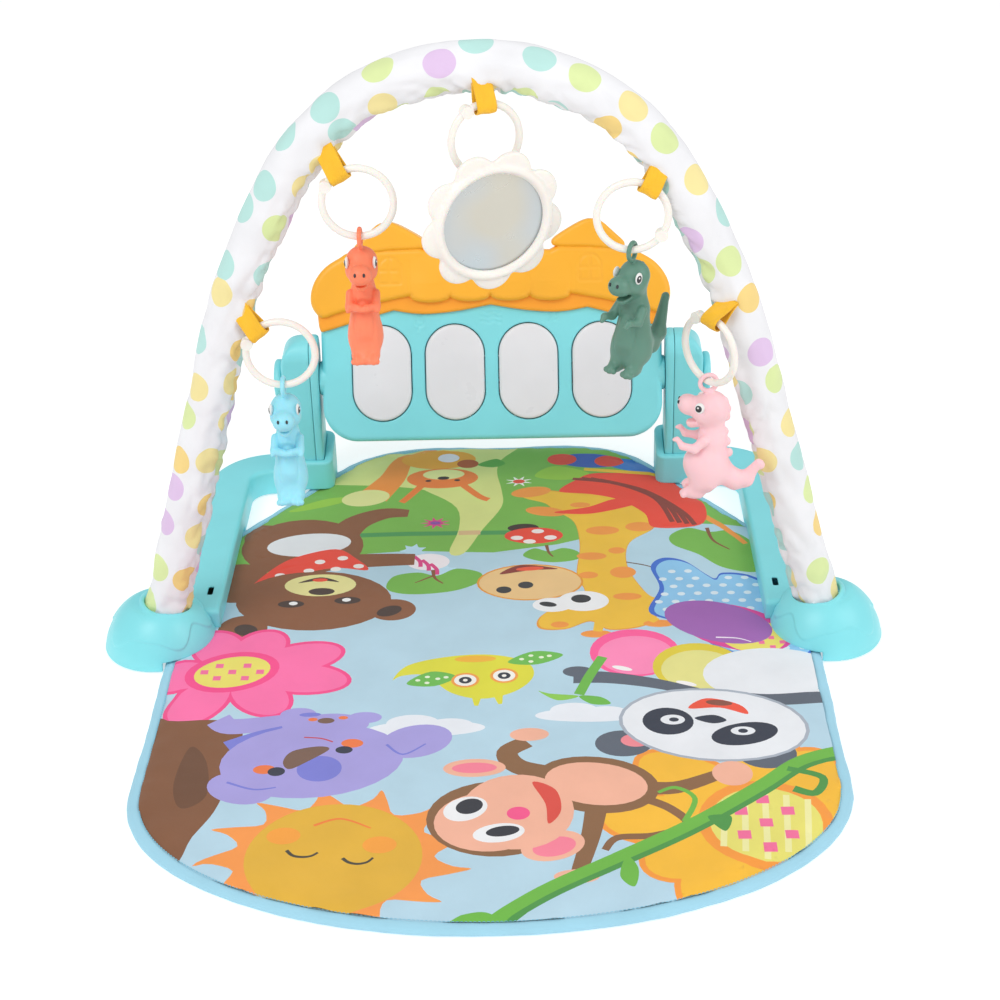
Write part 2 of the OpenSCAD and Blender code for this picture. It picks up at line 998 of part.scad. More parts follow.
module batteries() {
  color("gold")
    in_piano_frame()
      for (i = [-1, 0, 1])
        translate([-battery_l / 2, battery_y, door_z + i * battery_pitch])
          rotate([0, 90, 0]) {
            cylinder(r = battery_r, h = battery_l - terminal_l);
            cylinder(r = battery_r / 2, h = battery_l);
          }
}

module battery_contacts() {
  color("silver")
    in_piano_frame()
      for (side = [-1, 1])
        for (i = [-1, 0, 1])
          translate([side * (battery_l / 2 + terminal_l), battery_y, door_z + i * battery_pitch])
            cube([1, 2 * battery_r - 2, 2 * battery_r - 2], center = true);
}

module key_return_pads() {
  color("lightgray")
    in_piano_frame()
      for (i = [0:key_count - 1])
        for (side = [-1, 1])
          translate([(i - key_mid) * key_pitch, board_y, key_z + side * key_pad_z])
            rotate([90, 0, 0]) cylinder(r = key_pad_r, h = 5);
}

module case_screws() {
  color("silver")
    in_piano_frame()
      for (x = case_screws_x)
        translate([x, back_y + 1.3, case_screws_z]) rotate([90, 0, 0]) {
          cylinder(r = screw_head_r, h = 1.2);
          cylinder(r = screw_r - 0.5, h = case_screw_l);
        }
}

module battery_door() {
  color(turquoise)
    in_piano_frame()
      translate([0, back_y - door_t / 2 + 0.2, door_z])
        cube([door_w - 0.8, door_t, door_h - 0.8], center = true);
}

module power_switch() {
  color(orange)
    in_piano_frame() {
      translate([switch_x, back_y - 0.75, switch_z]) cube([6, 6.5, 5], center = true);
      translate([switch_x, back_y - 5, switch_z]) cube([12, 3, 10], center = true);
    }
}

module key_cap(i) {
  color(key_white)
    in_piano_frame() {
      slab(face_y + 3, key_face_y + 2) at_key(i) key_outline(0);
      slab(face_y + 3, key_face_y + 0.8) at_key(i) key_outline(-2);
      slab(face_y + 3, key_face_y) at_key(i) key_outline(-5);
      slab(face_y + 4.4, face_y + 2.8) at_key(i) key_outline(key_flange);
    }
}

module key_1() { key_cap(0); }
module key_2() { key_cap(1); }
module key_3() { key_cap(2); }
module key_4() { key_cap(3); }

// ---------------------------------------------------------------- assembly

mat_top_fabric();
mat_filling();
mat_backing();
mat_binding();
side_frame_left();
side_frame_right();
foot_dome_left();
foot_dome_right();
frame_screws();
anti_slip_pads();
arch_tube_left();
arch_tube_top();
arch_tube_right();
arch_joining_plugs();
arch_padding();
arch_sleeve();
hang_loop_1();
hang_loop_2();
hang_loop_3();
hang_loop_4();
hang_loop_5();
post_outer_left();
post_outer_right();
post_inner_left();
post_inner_right();
pivot_cap_left();
pivot_cap_right();
post_screws();
piano_front_shell();
piano_back_shell();
piano_roof_front();
piano_roof_back();
pivot_shafts();
circuit_board();
speaker();
battery_contacts();
batteries();
key_return_pads();
case_screws();
battery_door();
power_switch();
key_1();
key_2();
key_3();
key_4();
hang_ring_1();
hang_ring_2();
hang_ring_3();
hang_ring_4();
hang_ring_5();
blue_dinosaur();
coral_dinosaur();
green_dinosaur();
pink_dinosaur();
mirror_frame();
mirror_plate();
mirror_back();
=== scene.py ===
import math

import bpy
import numpy as np
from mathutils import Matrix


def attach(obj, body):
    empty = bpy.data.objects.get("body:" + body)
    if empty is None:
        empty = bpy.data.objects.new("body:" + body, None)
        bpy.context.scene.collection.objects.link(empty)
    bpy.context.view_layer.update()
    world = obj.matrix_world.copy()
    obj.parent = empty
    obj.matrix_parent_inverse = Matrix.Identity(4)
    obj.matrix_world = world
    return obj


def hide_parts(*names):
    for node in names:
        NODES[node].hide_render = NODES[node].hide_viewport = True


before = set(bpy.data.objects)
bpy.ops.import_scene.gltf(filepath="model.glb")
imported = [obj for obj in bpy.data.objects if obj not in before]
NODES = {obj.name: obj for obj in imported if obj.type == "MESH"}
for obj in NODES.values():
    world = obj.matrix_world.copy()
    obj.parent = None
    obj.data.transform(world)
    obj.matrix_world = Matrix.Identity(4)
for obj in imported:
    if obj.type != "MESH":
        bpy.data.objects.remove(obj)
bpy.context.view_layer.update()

import openvdb
from mathutils import Matrix, Vector, geometry, noise

# Activity play gym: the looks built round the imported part. Metres, in the part's frame.

MM = 0.001

# the part's main dimensions
MAT_WIDTH, MAT_LENGTH, MAT_THICKNESS = 570 * MM, 748 * MM, 8 * MM
MAT_FRONT_DEPTH, MAT_SIDE_END = 165 * MM, 150 * MM
MAT_BACK_RADIUS, MAT_BACK_X = 100 * MM, 75 * MM
BINDING_WIDTH = 11 * MM
ARCH_Y = 21 * MM
ARCH_TOP, CROWN_RADIUS, CROWN_ANGLE = 519 * MM, 176 * MM, math.radians(59)
SIDE_RADIUS, LEG_LEAN = 620 * MM, math.radians(15.8)
SLEEVE_RADIUS, PADDING_RADIUS = 19.5 * MM, 18.1 * MM
DOME_X, DOME_RADIUS, DOME_HEIGHT = 294 * MM, 50 * MM, 42 * MM
COLLAR_RADIUS = 22.5 * MM
PIVOT = Vector((0, 308 * MM, 120 * MM))
REST_TILT = math.radians(21)

SIDES = (("left", -1), ("right", 1))


# ---------------------------------------------------------------- materials

def rgb(code):
    """Linear colour of a hex code, with alpha."""
    channels = [int(code[i:i + 2], 16) / 255 for i in (1, 3, 5)]
    return tuple(c / 12.92 if c < 0.04045 else ((c + 0.055) / 1.055) ** 2.4 for c in channels) + (1,)


def node(tree, kind, inputs=None, **settings):
    """A new shader node with its settings and constant inputs."""
    made = tree.nodes.new("ShaderNode" + kind)
    for key, value in settings.items():
        setattr(made, key, value)
    for key, value in (inputs or {}).items():
        if isinstance(value, bpy.types.NodeSocket):
            tree.links.new(value, made.inputs[key])
        else:
            made.inputs[key].default_value = value
    return made


def new_material(name, **constants):
    """A new material, its node tree and its Principled shader. Constants set the shader's own sockets."""
    material = bpy.data.materials.new(name)
    material.use_nodes = True
    shader = material.node_tree.nodes["Principled BSDF"]
    for key, value in constants.items():
        shader.inputs[key.replace("_", " ")].default_value = value
    return material, material.node_tree, shader


def object_space(tree):
    """The piece's own coordinates in metres."""
    return node(tree, "TexCoord").outputs["Object"]


def toned(tree, colour, amount, scale):
    """The colour with slow, faint changes of tone. colour is a socket or a linear colour."""
    cloud = node(tree, "TexNoise", {"Vector": object_space(tree), "Scale": scale, "Detail": 3})
    level = node(tree, "MapRange", {"Value": cloud.outputs["Fac"], "From Min": 0.3, "From Max": 0.7,
                                    "To Min": 1 - amount, "To Max": 1 + amount / 2})
    mixed = node(tree, "Mix", data_type="RGBA", blend_type="MULTIPLY")
    mixed.inputs["Factor"].default_value = 1
    if isinstance(colour, bpy.types.NodeSocket):
        tree.links.new(colour, mixed.inputs[6])
    else:
        mixed.inputs[6].default_value = colour
    tree.links.new(level.outputs["Result"], mixed.inputs[7])
    return mixed.outputs[2]


def gloss(tree, shader, roughness, spread, scale):
    """Roughness that changes a little over the surface."""
    cloud = node(tree, "TexNoise", {"Vector": object_space(tree), "Scale": scale, "Detail": 4})
    level = node(tree, "MapRange", {"Value": cloud.outputs["Fac"], "From Min": 0.3, "From Max": 0.7,
                                    "To Min": roughness - spread, "To Max": roughness + spread})
    tree.links.new(level.outputs["Result"], shader.inputs["Roughness"])


def bump(tree, shader, height, depth, strength=1.0):
    """Fine relief from a height between 0 and 1, depth metres deep."""
    made = node(tree, "Bump", {"Height": height, "Distance": depth, "Strength": strength})
    tree.links.new(made.outputs["Normal"], shader.inputs["Normal"])


def plastic(name, colour, roughness=0.38, grain=900, depth=0.04 * MM, amount=0.05, **constants):
    """Moulded plastic: even colour, faint mould texture."""
    material, tree, shader = new_material(name, **constants)
    tree.links.new(toned(tree, rgb(colour), amount, 14), shader.inputs["Base Color"])
    gloss(tree, shader, roughness, 0.06, 40)
    speck = node(tree, "TexNoise", {"Vector": object_space(tree), "Scale": grain, "Detail": 2})
    bump(tree, shader, speck.outputs["Fac"], depth, 0.5)
    return material


def weave_height(tree, vector, pitch, turn=0.0):
    """Height of a plain weave: two crossed sets of threads."""
    turned = node(tree, "Mapping", {"Vector": vector, "Rotation": (0, 0, turn)})
    waves = []
    for direction in ("X", "Y"):
        waves.append(node(tree, "TexWave", {"Vector": turned.outputs["Vector"], "Scale": math.pi / 10 / pitch,
                                            "Distortion": 0.6, "Detail": 1},
                          bands_direction=direction).outputs["Fac"])
    return node(tree, "Math", {0: waves[0], 1: waves[1]}, operation="MULTIPLY").outputs["Value"]


def fabric(name, colour, pitch=0.9 * MM, depth=0.12 * MM, space="Object", amount=0.05, **constants):
    """Woven cloth. colour is a hex code or a function that gives a socket."""
    material, tree, shader = new_material(name, Sheen_Weight=0.15, **constants)
    base = colour(tree) if callable(colour) else rgb(colour)
    tree.links.new(toned(tree, base, amount, 25), shader.inputs["Base Color"])
    gloss(tree, shader, 0.82, 0.05, 60)
    coords = node(tree, "TexCoord").outputs[space]
    bump(tree, shader, weave_height(tree, coords, pitch), depth, 0.6)
    return material


def printed_colour(tree):
    """The colour stored in the mat's own triangles."""
    return node(tree, "Attribute", attribute_name="print").outputs["Color"]


# DOT_REACH and DOT_SCATTER are shares of the pitch
DOT_PITCH, DOT_REACH, DOT_SCATTER = 37.4 * MM, 0.325, 0.5
DOT_COLOURS = ("#B7E1DB", "#F2E29E", "#B7E1DB", "#F3D485", "#DAE9A6", "#B7E1DB", "#F2E29E", "#DFC3E6")


def dotted_colour(tree):
    """White cloth with scattered round dots in five pale colours, in the sleeve's own UV metres."""
    coords = node(tree, "TexCoord").outputs["UV"]
    cells = node(tree, "TexVoronoi", {"Vector": coords, "Scale": 1 / DOT_PITCH, "Randomness": DOT_SCATTER},
                 voronoi_dimensions="2D")
    dots = node(tree, "Math", {0: cells.outputs["Distance"], 1: DOT_REACH}, operation="LESS_THAN")
    pick = node(tree, "SeparateColor", {"Color": cells.outputs["Color"]})
    ramp = node(tree, "ValToRGB", {"Fac": pick.outputs["Red"]})
    ramp.color_ramp.interpolation = "CONSTANT"
    while len(ramp.color_ramp.elements) < len(DOT_COLOURS):
        ramp.color_ramp.elements.new(0.5)
    for i, code in enumerate(DOT_COLOURS):
        ramp.color_ramp.elements[i].position = i / len(DOT_COLOURS)
        ramp.color_ramp.elements[i].color = rgb(code)
    mixed = node(tree, "Mix", data_type="RGBA")
    tree.links.new(dots.outputs["Value"], mixed.inputs["Factor"])
    mixed.inputs[6].default_value = rgb("#EDEDF0")
    tree.links.new(ramp.outputs["Color"], mixed.inputs[7])
    return mixed.outputs[2]


def webbing(name, colour):
    """Ribbed strap: raised ribs along its length, in its own UV metres."""
    material, tree, shader = new_material(name, Sheen_Weight=0.2)
    tree.links.new(toned(tree, rgb(colour), 0.08, 60), shader.inputs["Base Color"])
    gloss(tree, shader, 0.75, 0.05, 80)
    coords = node(tree, "TexCoord").outputs["UV"]
    bump(tree, shader, weave_height(tree, coords, 1.1 * MM, 0.5), 0.4 * MM, 0.8)
    return material


def mirror_foil():
    """Soft mirror with faint clouds of warm and cool colour."""
    material, tree, shader = new_material("mirror_foil", Metallic=0.55, Specular_IOR_Level=0.7)
    cloud = node(tree, "TexNoise", {"Vector": object_space(tree), "Scale": 16, "Detail": 1})
    ramp = node(tree, "ValToRGB", {"Fac": cloud.outputs["Fac"]})
    ramp.color_ramp.elements.new(0.5)
    tints = ((0.35, "#C9C6BA"), (0.5, "#C2C6C6"), (0.66, "#B9C8D0"))
    for element, (place, code) in zip(ramp.color_ramp.elements, tints):
        element.position = place
        element.color = rgb(code)
    tree.links.new(ramp.outputs["Color"], shader.inputs["Base Color"])
    gloss(tree, shader, 0.3, 0.04, 30)
    ripple = node(tree, "TexNoise", {"Vector": object_space(tree), "Scale": 14, "Detail": 0})
    bump(tree, shader, ripple.outputs["Fac"], 0.3 * MM, 0.2)
    return material


def vinyl(name, colour, roughness=0.5, glow=0.15):
    """Soft toy plastic, which lets a little light in."""
    return plastic(name, colour, roughness=roughness, Subsurface_Weight=glow, Subsurface_Scale=0.004)


MATERIALS = {
    "turquoise": plastic("turquoise_plastic", "#86E2EA"),
    "orange": plastic("orange_plastic", "#FFB62C", roughness=0.4),
    # the roof's orange made darker: painted shade for the skirt under the roof's overhang
    "orange_painted_shade": plastic("painted_shade_orange_plastic", "#FFA728", roughness=0.42),
    "key": plastic("key_plastic", "#E8E9ED", roughness=0.33),
    "ring": plastic("ring_plastic", "#F3EFE8", roughness=0.3, Subsurface_Weight=0.2, Subsurface_Scale=0.004),
    "mirror": mirror_foil(),
    "black": plastic("black_plastic", "#33363B", roughness=0.55),
    "rubber": plastic("rubber", "#56595E", roughness=0.8),
    "steel": plastic("steel", "#B9BCC0", roughness=0.3, Metallic=1.0),
    "board": plastic("board", "#2E7A4E", roughness=0.5),
    "white_plastic": plastic("white_plastic", "#EDEDEB", roughness=0.45),
    "print": fabric("printed_fabric", printed_colour),
    "binding": fabric("binding_fabric", "#A2D6EA", pitch=1.0 * MM),
    "backing": fabric("backing_fabric", "#D9DCE0"),
    "foam": fabric("wadding", "#F1F0EC", pitch=2.2 * MM, depth=0.4 * MM),
    "sleeve": fabric("sleeve_fabric", dotted_colour, space="UV"),
    "loop": webbing("loop_webbing", "#FFC21F"),
    "thread": fabric("thread", "#7FC6DE", pitch=0.4 * MM),
    "blue_vinyl": vinyl("blue_vinyl", "#9AE4F5"),
    "coral_vinyl": vinyl("coral_vinyl", "#FF8862"),
    "green_vinyl": vinyl("green_vinyl", "#5F8B7A", roughness=0.42, glow=0.1),
    "pink_vinyl": vinyl("pink_vinyl", "#FBCDD3"),
}


def paint(obj, key):
    """Gives the piece its one material."""
    obj.data.materials.clear()
    obj.data.materials.append(MATERIALS[key])
    return obj


# ---------------------------------------------------------------- meshes

def new_object(name, mesh):
    obj = bpy.data.objects.new(name, mesh)
    bpy.context.scene.collection.objects.link(obj)
    return obj


def mesh_object(name, verts, faces, smooth=True):
    mesh = bpy.data.meshes.new(name)
    mesh.from_pydata([tuple(v) for v in verts], [], faces)
    mesh.validate()
    if smooth:
        mesh.shade_smooth()
    return new_object(name, mesh)


def grid_faces(rows, columns, closed_rows=False, closed_columns=False):
    """Quads of a rows x columns grid of points, numbered row by row."""
    faces = []
    for r in range(rows if closed_rows else rows - 1):
        for c in range(columns if closed_columns else columns - 1):
            r2, c2 = (r + 1) % rows, (c + 1) % columns
            faces.append((r * columns + c, r * columns + c2, r2 * columns + c2, r2 * columns + c))
    return faces


def coords_of(obj):
    """The vertices' places as an array."""
    return np.array([v.co for v in obj.data.vertices], float).reshape(-1, 3)


def set_coords(obj, points):
    obj.data.vertices.foreach_set("co", np.asarray(points, np.float32).ravel())
    obj.data.update()


CLOTH_FRAMES = 20


def settle_cloth(obj, pinned, pressure, shrink, limit):
    """Cloth simulation: obj swells under a little air, held at its pinned points.
    No point moves further than limit."""
    rest = coords_of(obj)
    group = obj.vertex_groups.new(name="pinned")
    group.add([int(i) for i in pinned], 1.0, "REPLACE")
    cloth = obj.modifiers.new("cloth", "CLOTH")
    cloth.settings.vertex_group_mass = group.name
    cloth.settings.use_pressure = True
    cloth.settings.uniform_pressure_force = pressure
    cloth.settings.shrink_min = shrink
    cloth.settings.effector_weights.gravity = 0
    cloth.point_cache.frame_start = 1
    cloth.point_cache.frame_end = CLOTH_FRAMES
    for frame_number in range(1, CLOTH_FRAMES + 1):
        bpy.context.scene.frame_set(frame_number)
    settled = obj.evaluated_get(bpy.context.evaluated_depsgraph_get())
    moved = np.array([v.co for v in settled.data.vertices], float) - rest
    obj.modifiers.remove(cloth)
    bpy.context.scene.frame_set(1)
    far = np.linalg.norm(moved, axis=1, keepdims=True)
    set_coords(obj, rest + moved * np.minimum(1, limit / np.maximum(far, 1e-9)))


# ---------------------------------------------------------------- outlines in the plane

def ellipse(x, y, rx, ry, turn=0.0, steps=30):
    """Closed loop of an ellipse turned by an angle in degrees."""
    c, s = math.cos(math.radians(turn)), math.sin(math.radians(turn))
    loop = []
    for i in range(steps):
        a = 2 * math.pi * i / steps
        px, py = rx * math.cos(a), ry * math.sin(a)
        loop.append((x + px * c - py * s, y + px * s + py * c))
    return loop


def curve_through(points, steps=6, closed=True):
    """Smooth line through the points."""
    n = len(points)
    line = []
    for i in range(n if closed else n - 1):
        p = [points[(i + k) % n] if closed else points[min(max(i + k, 0), n - 1)] for k in (-1, 0, 1, 2)]
        for j in range(steps):
            t = j / steps
            line.append(tuple(
                0.5 * (2 * b + (c - a) * t + (2 * a - 5 * b + 4 * c - d) * t * t
                       + (3 * b - a - 3 * c + d) * t ** 3)
                for a, b, c, d in zip(*p)))
    if not closed:
        line.append(points[-1])
    return line


def stroke(points, width, end_width=None, steps=6):
    """Band of a width along a smooth line, which may taper to another width."""
    line = [Vector(p) for p in curve_through(points, steps, closed=False)]
    end_width = width if end_width is None else end_width
    left, right = [], []
    for i, p in enumerate(line):
        along = (line[min(i + 1, len(line) - 1)] - line[max(i - 1, 0)]).normalized()
        across = Vector((-along.y, along.x))
        t = i / (len(line) - 1)
        half = (width * (1 - t) + end_width * t) / 2
        left.append(tuple(p + across * half))
        right.append(tuple(p - across * half))
    return left + right[::-1]


def star(x, y, inner, outer, points, squash=1.0, sway=0.0):
    """Wavy-edged disc with a number of rays, each leaning by sway."""
    middle = (inner + outer) / 2
    loop = []
    for i in range(points):
        a = 2 * math.pi * i / points
        step = 2 * math.pi / points
        for share, r in ((0, inner), (0.38, middle), (0.5 + sway, outer), (0.66, middle)):
            angle = a + share * step
            loop.append((x + r * math.cos(angle), y + r * squash * math.sin(angle)))
    return curve_through(loop, 3)


def even_spacing(loop, spacing):
    """The closed loop with its points evenly spaced."""
    points = np.array(list(loop) + [loop[0]], float)
    along = np.concatenate([[0], np.cumsum(np.linalg.norm(np.diff(points, axis=0), axis=1))])
    count = int(round(along[-1] / spacing))
    at = np.linspace(0, along[-1], count, endpoint=False)
    return np.stack([np.interp(at, along, points[:, k]) for k in (0, 1)], axis=1)


def inside(points, loop):
    """Which of the points lie in the closed loop."""
    points, loop = np.asarray(points), np.asarray(loop)
    found = np.zeros(len(points), bool)
    near = ((points >= loop.min(0)) & (points <= loop.max(0))).all(1)
    x, y = points[near, 0][:, None], points[near, 1][:, None]
    x1, y1 = loop[:, 0], loop[:, 1]
    x2, y2 = np.roll(x1, -1), np.roll(y1, -1)
    rise = np.where(y2 == y1, 1e-12, y2 - y1)
    crossed = ((y1 > y) != (y2 > y)) & (x < (x2 - x1) * (y - y1) / rise + x1)
    found[near] = crossed.sum(1) % 2 == 1
    return found


# ---------------------------------------------------------------- sculpting with distance fields

# Every field below is a signed distance in millimetres, below zero inside the piece.

def sculpt(name, field, low, high, step, place=Matrix()):
    """Closed mesh of field's surface between two corners. place takes its millimetre frame to the part's."""
    axes = [np.arange(a - 2 * step, b + 3 * step, step, dtype=np.float32) for a, b in zip(low, high)]
    x, y, z = np.meshgrid(*axes, indexing="ij", sparse=True)
    shape = tuple(len(a) for a in axes)
    values = np.broadcast_to(field(x, y, z), shape).astype(np.float32)
    grid = openvdb.FloatGrid(3 * step)
    grid.copyFromArray(np.clip(values, -3 * step, 3 * step))
    points, quads = grid.convertToQuads(0.0)
    points = (np.array([a[0] for a in axes]) + points * step) * MM
    first, second, third = (points[quads[:, k]] for k in (0, 1, 2))
    if (first * np.cross(second, third)).sum() < 0:
        quads = quads[:, ::-1]
    turned = points @ np.array(place.to_3x3()).T + np.array(place.translation)
    return mesh_object(name, turned, [tuple(map(int, q)) for q in quads])


def ball(x, y, z, at, r, stretch=(1, 1, 1)):
    """Ball of radius r, stretched along the axes."""
    sx, sy, sz = stretch
    far = np.sqrt(((x - at[0]) / sx) ** 2 + ((y - at[1]) / sy) ** 2 + ((z - at[2]) / sz) ** 2)
    return (far - r) * min(stretch)


def limb(x, y, z, a, b, ra, rb):
    """Round bar from a to b, whose radius goes from ra to rb."""
    ab = np.subtract(b, a).astype(float)
    px, py, pz = x - a[0], y - a[1], z - a[2]
    t = np.clip((px * ab[0] + py * ab[1] + pz * ab[2]) / (ab @ ab), 0, 1)
    far = np.sqrt((px - t * ab[0]) ** 2 + (py - t * ab[1]) ** 2 + (pz - t * ab[2]) ** 2)
    return far - (ra + (rb - ra) * t)


def melt(a, b, soft):
    """Union with a soft fillet."""
    blend = np.clip(0.5 + 0.5 * (b - a) / soft, 0, 1)
    return b + (a - b) * blend - soft * blend * (1 - blend)


def carve(a, b, soft):
    """a less b, with a soft edge."""
    return -melt(-a, b, soft)


def flat_distance(loop, u, v):
    """Signed distance in a plane to a closed loop, on a sparse grid of u and v."""
    points = np.asarray(loop, float)
    best, flips = np.inf, False
    for (ax, ay), (bx, by) in zip(points, np.roll(points, -1, 0)):
        ex, ey = bx - ax, by - ay
        t = np.clip(((u - ax) * ex + (v - ay) * ey) / max(ex * ex + ey * ey, 1e-12), 0, 1)
        best = np.minimum(best, (u - ax - t * ex) ** 2 + (v - ay - t * ey) ** 2)
        rise = by - ay if by != ay else 1e-9
        flips = flips ^ (((ay > v) != (by > v)) & (u < ex * (v - ay) / rise + ax))
    return np.where(flips, -1, 1) * np.sqrt(best)


def plate(flat, depth, near, far, soft):
    """Plate with rounded edges: flat is the distance in its plane, depth the coordinate across it."""
    middle, half = (near + far) / 2, abs(far - near) / 2
    side = flat + soft
    face = np.abs(depth - middle) - half + soft
    return np.minimum(np.maximum(side, face), 0) + np.hypot(np.maximum(side, 0), np.maximum(face, 0)) - soft


def torus(x, y, z, at, big, small, axis):
    """Ring round an axis, 0 to 2."""
    p = [x - at[0], y - at[1], z - at[2]]
    along = p.pop(axis)
    return np.hypot(np.hypot(p[0], p[1]) - big, along) - small


# ---------------------------------------------------------------- mat

def mat_outline(shrink=0.0):
    """Outline of the mat, anticlockwise, moved inwards by shrink."""
    front_y = -MAT_LENGTH / 2 + MAT_FRONT_DEPTH
    points = ellipse(0, front_y, MAT_WIDTH / 2, MAT_FRONT_DEPTH, steps=120)
    points += [(side * MAT_WIDTH / 2, MAT_SIDE_END) for side in (-1, 1)]
    back_y = MAT_LENGTH / 2 - MAT_BACK_RADIUS
    for side in (-1, 1):
        points += ellipse(side * MAT_BACK_X, back_y, MAT_BACK_RADIUS, MAT_BACK_RADIUS, steps=90)
    hull = [points[i] for i in geometry.convex_hull_2d([Vector(p) for p in points])]
    loop = even_spacing(hull, 5 * MM)
    for _ in range(4):
        loop = (np.roll(loop, 1, 0) + 2 * loop + np.roll(loop, -1, 0)) / 4
    return loop - outward(loop) * shrink


def outward(loop):
    """Unit normals of an anticlockwise loop."""
    along = np.roll(loop, -1, 0) - np.roll(loop, 1, 0)
    normal = np.stack([along[:, 1], -along[:, 0]], axis=1)
    return normal / np.linalg.norm(normal, axis=1, keepdims=True)


def mat_waves(x, y):
    """Slow waves of the mat's top, from the way it was folded."""
    slow = noise.noise(Vector((x * 7, y * 7, 3.1)))
    fine = noise.noise(Vector((x * 24, y * 24, 8.4)))
    return (0.8 * slow + 0.5 * fine) * MM


def mat_top(outline):
    """Grid of the mat's top after the cloth simulation: (xs, ys, height)."""
    step = 7 * MM
    xs = np.arange(-MAT_WIDTH / 2, MAT_WIDTH / 2 + step, step)
    ys = np.arange(-MAT_LENGTH / 2, MAT_LENGTH / 2 + step, step)
    grid = np.array([(x, y) for y in ys for x in xs])
    within = inside(grid, outline)
    rest = [(x, y, MAT_THICKNESS - 1.2 * MM + mat_waves(x, y)) for x, y in grid]
    sheet = mesh_object("mat_sheet", rest, grid_faces(len(ys), len(xs)))
    settle_cloth(sheet, np.flatnonzero(~within), pressure=2, shrink=-0.03, limit=3 * MM)
    height = coords_of(sheet)[:, 2].reshape(len(ys), len(xs))
    bpy.data.objects.remove(sheet)
    return xs, ys, height


def height_at(top, points):
    """Bilinear height of the settled top at each point."""
    xs, ys, height = top
    u = np.clip((points[:, 0] - xs[0]) / (xs[1] - xs[0]), 0, len(xs) - 1.001)
    v = np.clip((points[:, 1] - ys[0]) / (ys[1] - ys[0]), 0, len(ys) - 1.001)
    i, j = u.astype(int), v.astype(int)
    fu, fv = u - i, v - j
    low = height[j, i] * (1 - fu) + height[j, i + 1] * fu
    high = height[j + 1, i] * (1 - fu) + height[j + 1, i + 1] * fu
    return low * (1 - fv) + high * fv


PRINT_GRID_HALF = (0.29, 0.38)


def print_layer(outline, shapes, top):
    """The printed top: one mesh whose triangles each lie in one colour of the print."""
    points, edges = [], []
    for loop in [outline] + [loop for _, loop in shapes]:
        start, count = len(points), len(loop)
        points += [Vector(p) for p in loop]
        edges += [(start + i, start + (i + 1) % count) for i in range(count)]
    step = 6 * MM
    xs, ys = (np.arange(-half, half, step) for half in PRINT_GRID_HALF)
    grid = np.array([(x, y) for x in xs for y in ys])
    points += [Vector(p) for p in grid[inside(grid, outline)]]
    verts, _, faces, *_ = geometry.delaunay_2d_cdt(points, edges, [], 0, 1e-6)
    flat = np.array([tuple(v) for v in verts])
    faces = np.array(faces)
    middles = flat[faces].mean(1)
    kept = inside(middles, outline)
    faces, middles = faces[kept], middles[kept]
    colours = np.tile(rgb(SKY), (len(faces), 1))
    for code, loop in shapes:
        colours[inside(middles, loop)] = rgb(code)
    spots = np.column_stack([flat, height_at(top, flat) + edge_puckers(flat, outline)])
    layer = mesh_object("mat_print", spots, [tuple(map(int, f)) for f in faces])
    attribute = layer.data.color_attributes.new("print", "FLOAT_COLOR", "CORNER")
    attribute.data.foreach_set("color", np.repeat(colours, 3, axis=0).astype(np.float32).ravel())
    return layer


def edge_puckers(flat, outline):
    """Small gathers across the binding, which fade towards the mat's middle."""
    loop = np.array(outline)
    gap = np.sqrt(((flat[:, None, :] - loop[None, ::4, :]) ** 2).sum(2))
    nearest = gap.argmin(1)
    waves = np.array([noise.noise(Vector((k * 0.55, 0.3, 0.9))) for k in range(len(loop[::4]))])
    return waves[nearest] * 1.3 * MM * np.exp(-gap.min(1) / (20 * MM))


SKY = "#B7D6E6"


def mat_shapes():
    """The printed picture, back to front: (colour, loop), in metres."""
    shapes = []
    for motif in (hills, fox, candy, trees, bear, flowers, trunk, clouds, bird, giraffe, butterfly, balloons,
                  sun, koala, blossom, panda, monkey, vine):
        shapes += motif()
    return [(code, [(x * MM, y * MM) for x, y in loop]) for code, loop in shapes]


def hills():
    ground = [(-300, 105), (-230, 112), (-150, 150), (-80, 158), (0, 152), (60, 165), (120, 190),
              (200, 200), (300, 190), (300, 400), (-300, 400)]
    meadow = [(-300, 292), (-161, 290), (-84, 281), (-63, 269), (-37, 239), (-34, 197), (-42, 154),
              (-28, 152), (-11, 196), (7, 240), (7, 271), (2, 310), (6, 338), (25, 370), (10, 400),
              (-300, 400)]
    return [
        ("#7DB94F", ground),
        ("#4F9B58", stroke([(-135, 188), (-80, 190), (62, 188)], 8)),
        ("#DDE28E", curve_through(meadow, 4)),
        ("#DDBB8B", stroke([(-34, 190), (-13, 190)], 8)),
        ("#9BCB45", curve_through([(-200, 240), (-165, 262), (-140, 262), (-165, 246), (-195, 236)])),
        ("#9BCB45", curve_through([(40, 300), (60, 322), (95, 305), (70, 292)])),
    ]


def fox():
    return [
        ("#F5943F", stroke([(-122, 262), (-104, 300), (-92, 340), (-60, 360)], 34, 12)),
        ("#E4E39A", ellipse(-128, 262, 24, 16, 14)),
        ("#F2A83A", ellipse(-58, 340, 38, 20)),
        ("#EFE6F0", ellipse(-48, 343, 11, 9)),
        ("#F08038", stroke([(-72, 288), (-86, 262), (-92, 252)], 8, 7)),
        ("#F08038", stroke([(-34, 288), (-16, 262), (-6, 254)], 8, 7)),
        ("#F08038", ellipse(-53, 300, 36, 21)),
        ("#E8E79E", ellipse(-52, 308, 21, 11)),
        ("#2E2A2A", ellipse(-52, 300, 6, 3.5)),
        ("#2E2A2A", ellipse(-67, 295, 3, 2)),
        ("#2E2A2A", ellipse(-38, 295, 3, 2)),
        ("#B5592C", ellipse(-28, 330, 11, 9)),
        ("#5CA845", curve_through([(-18, 328), (0, 340), (10, 330), (-2, 322)])),
    ]


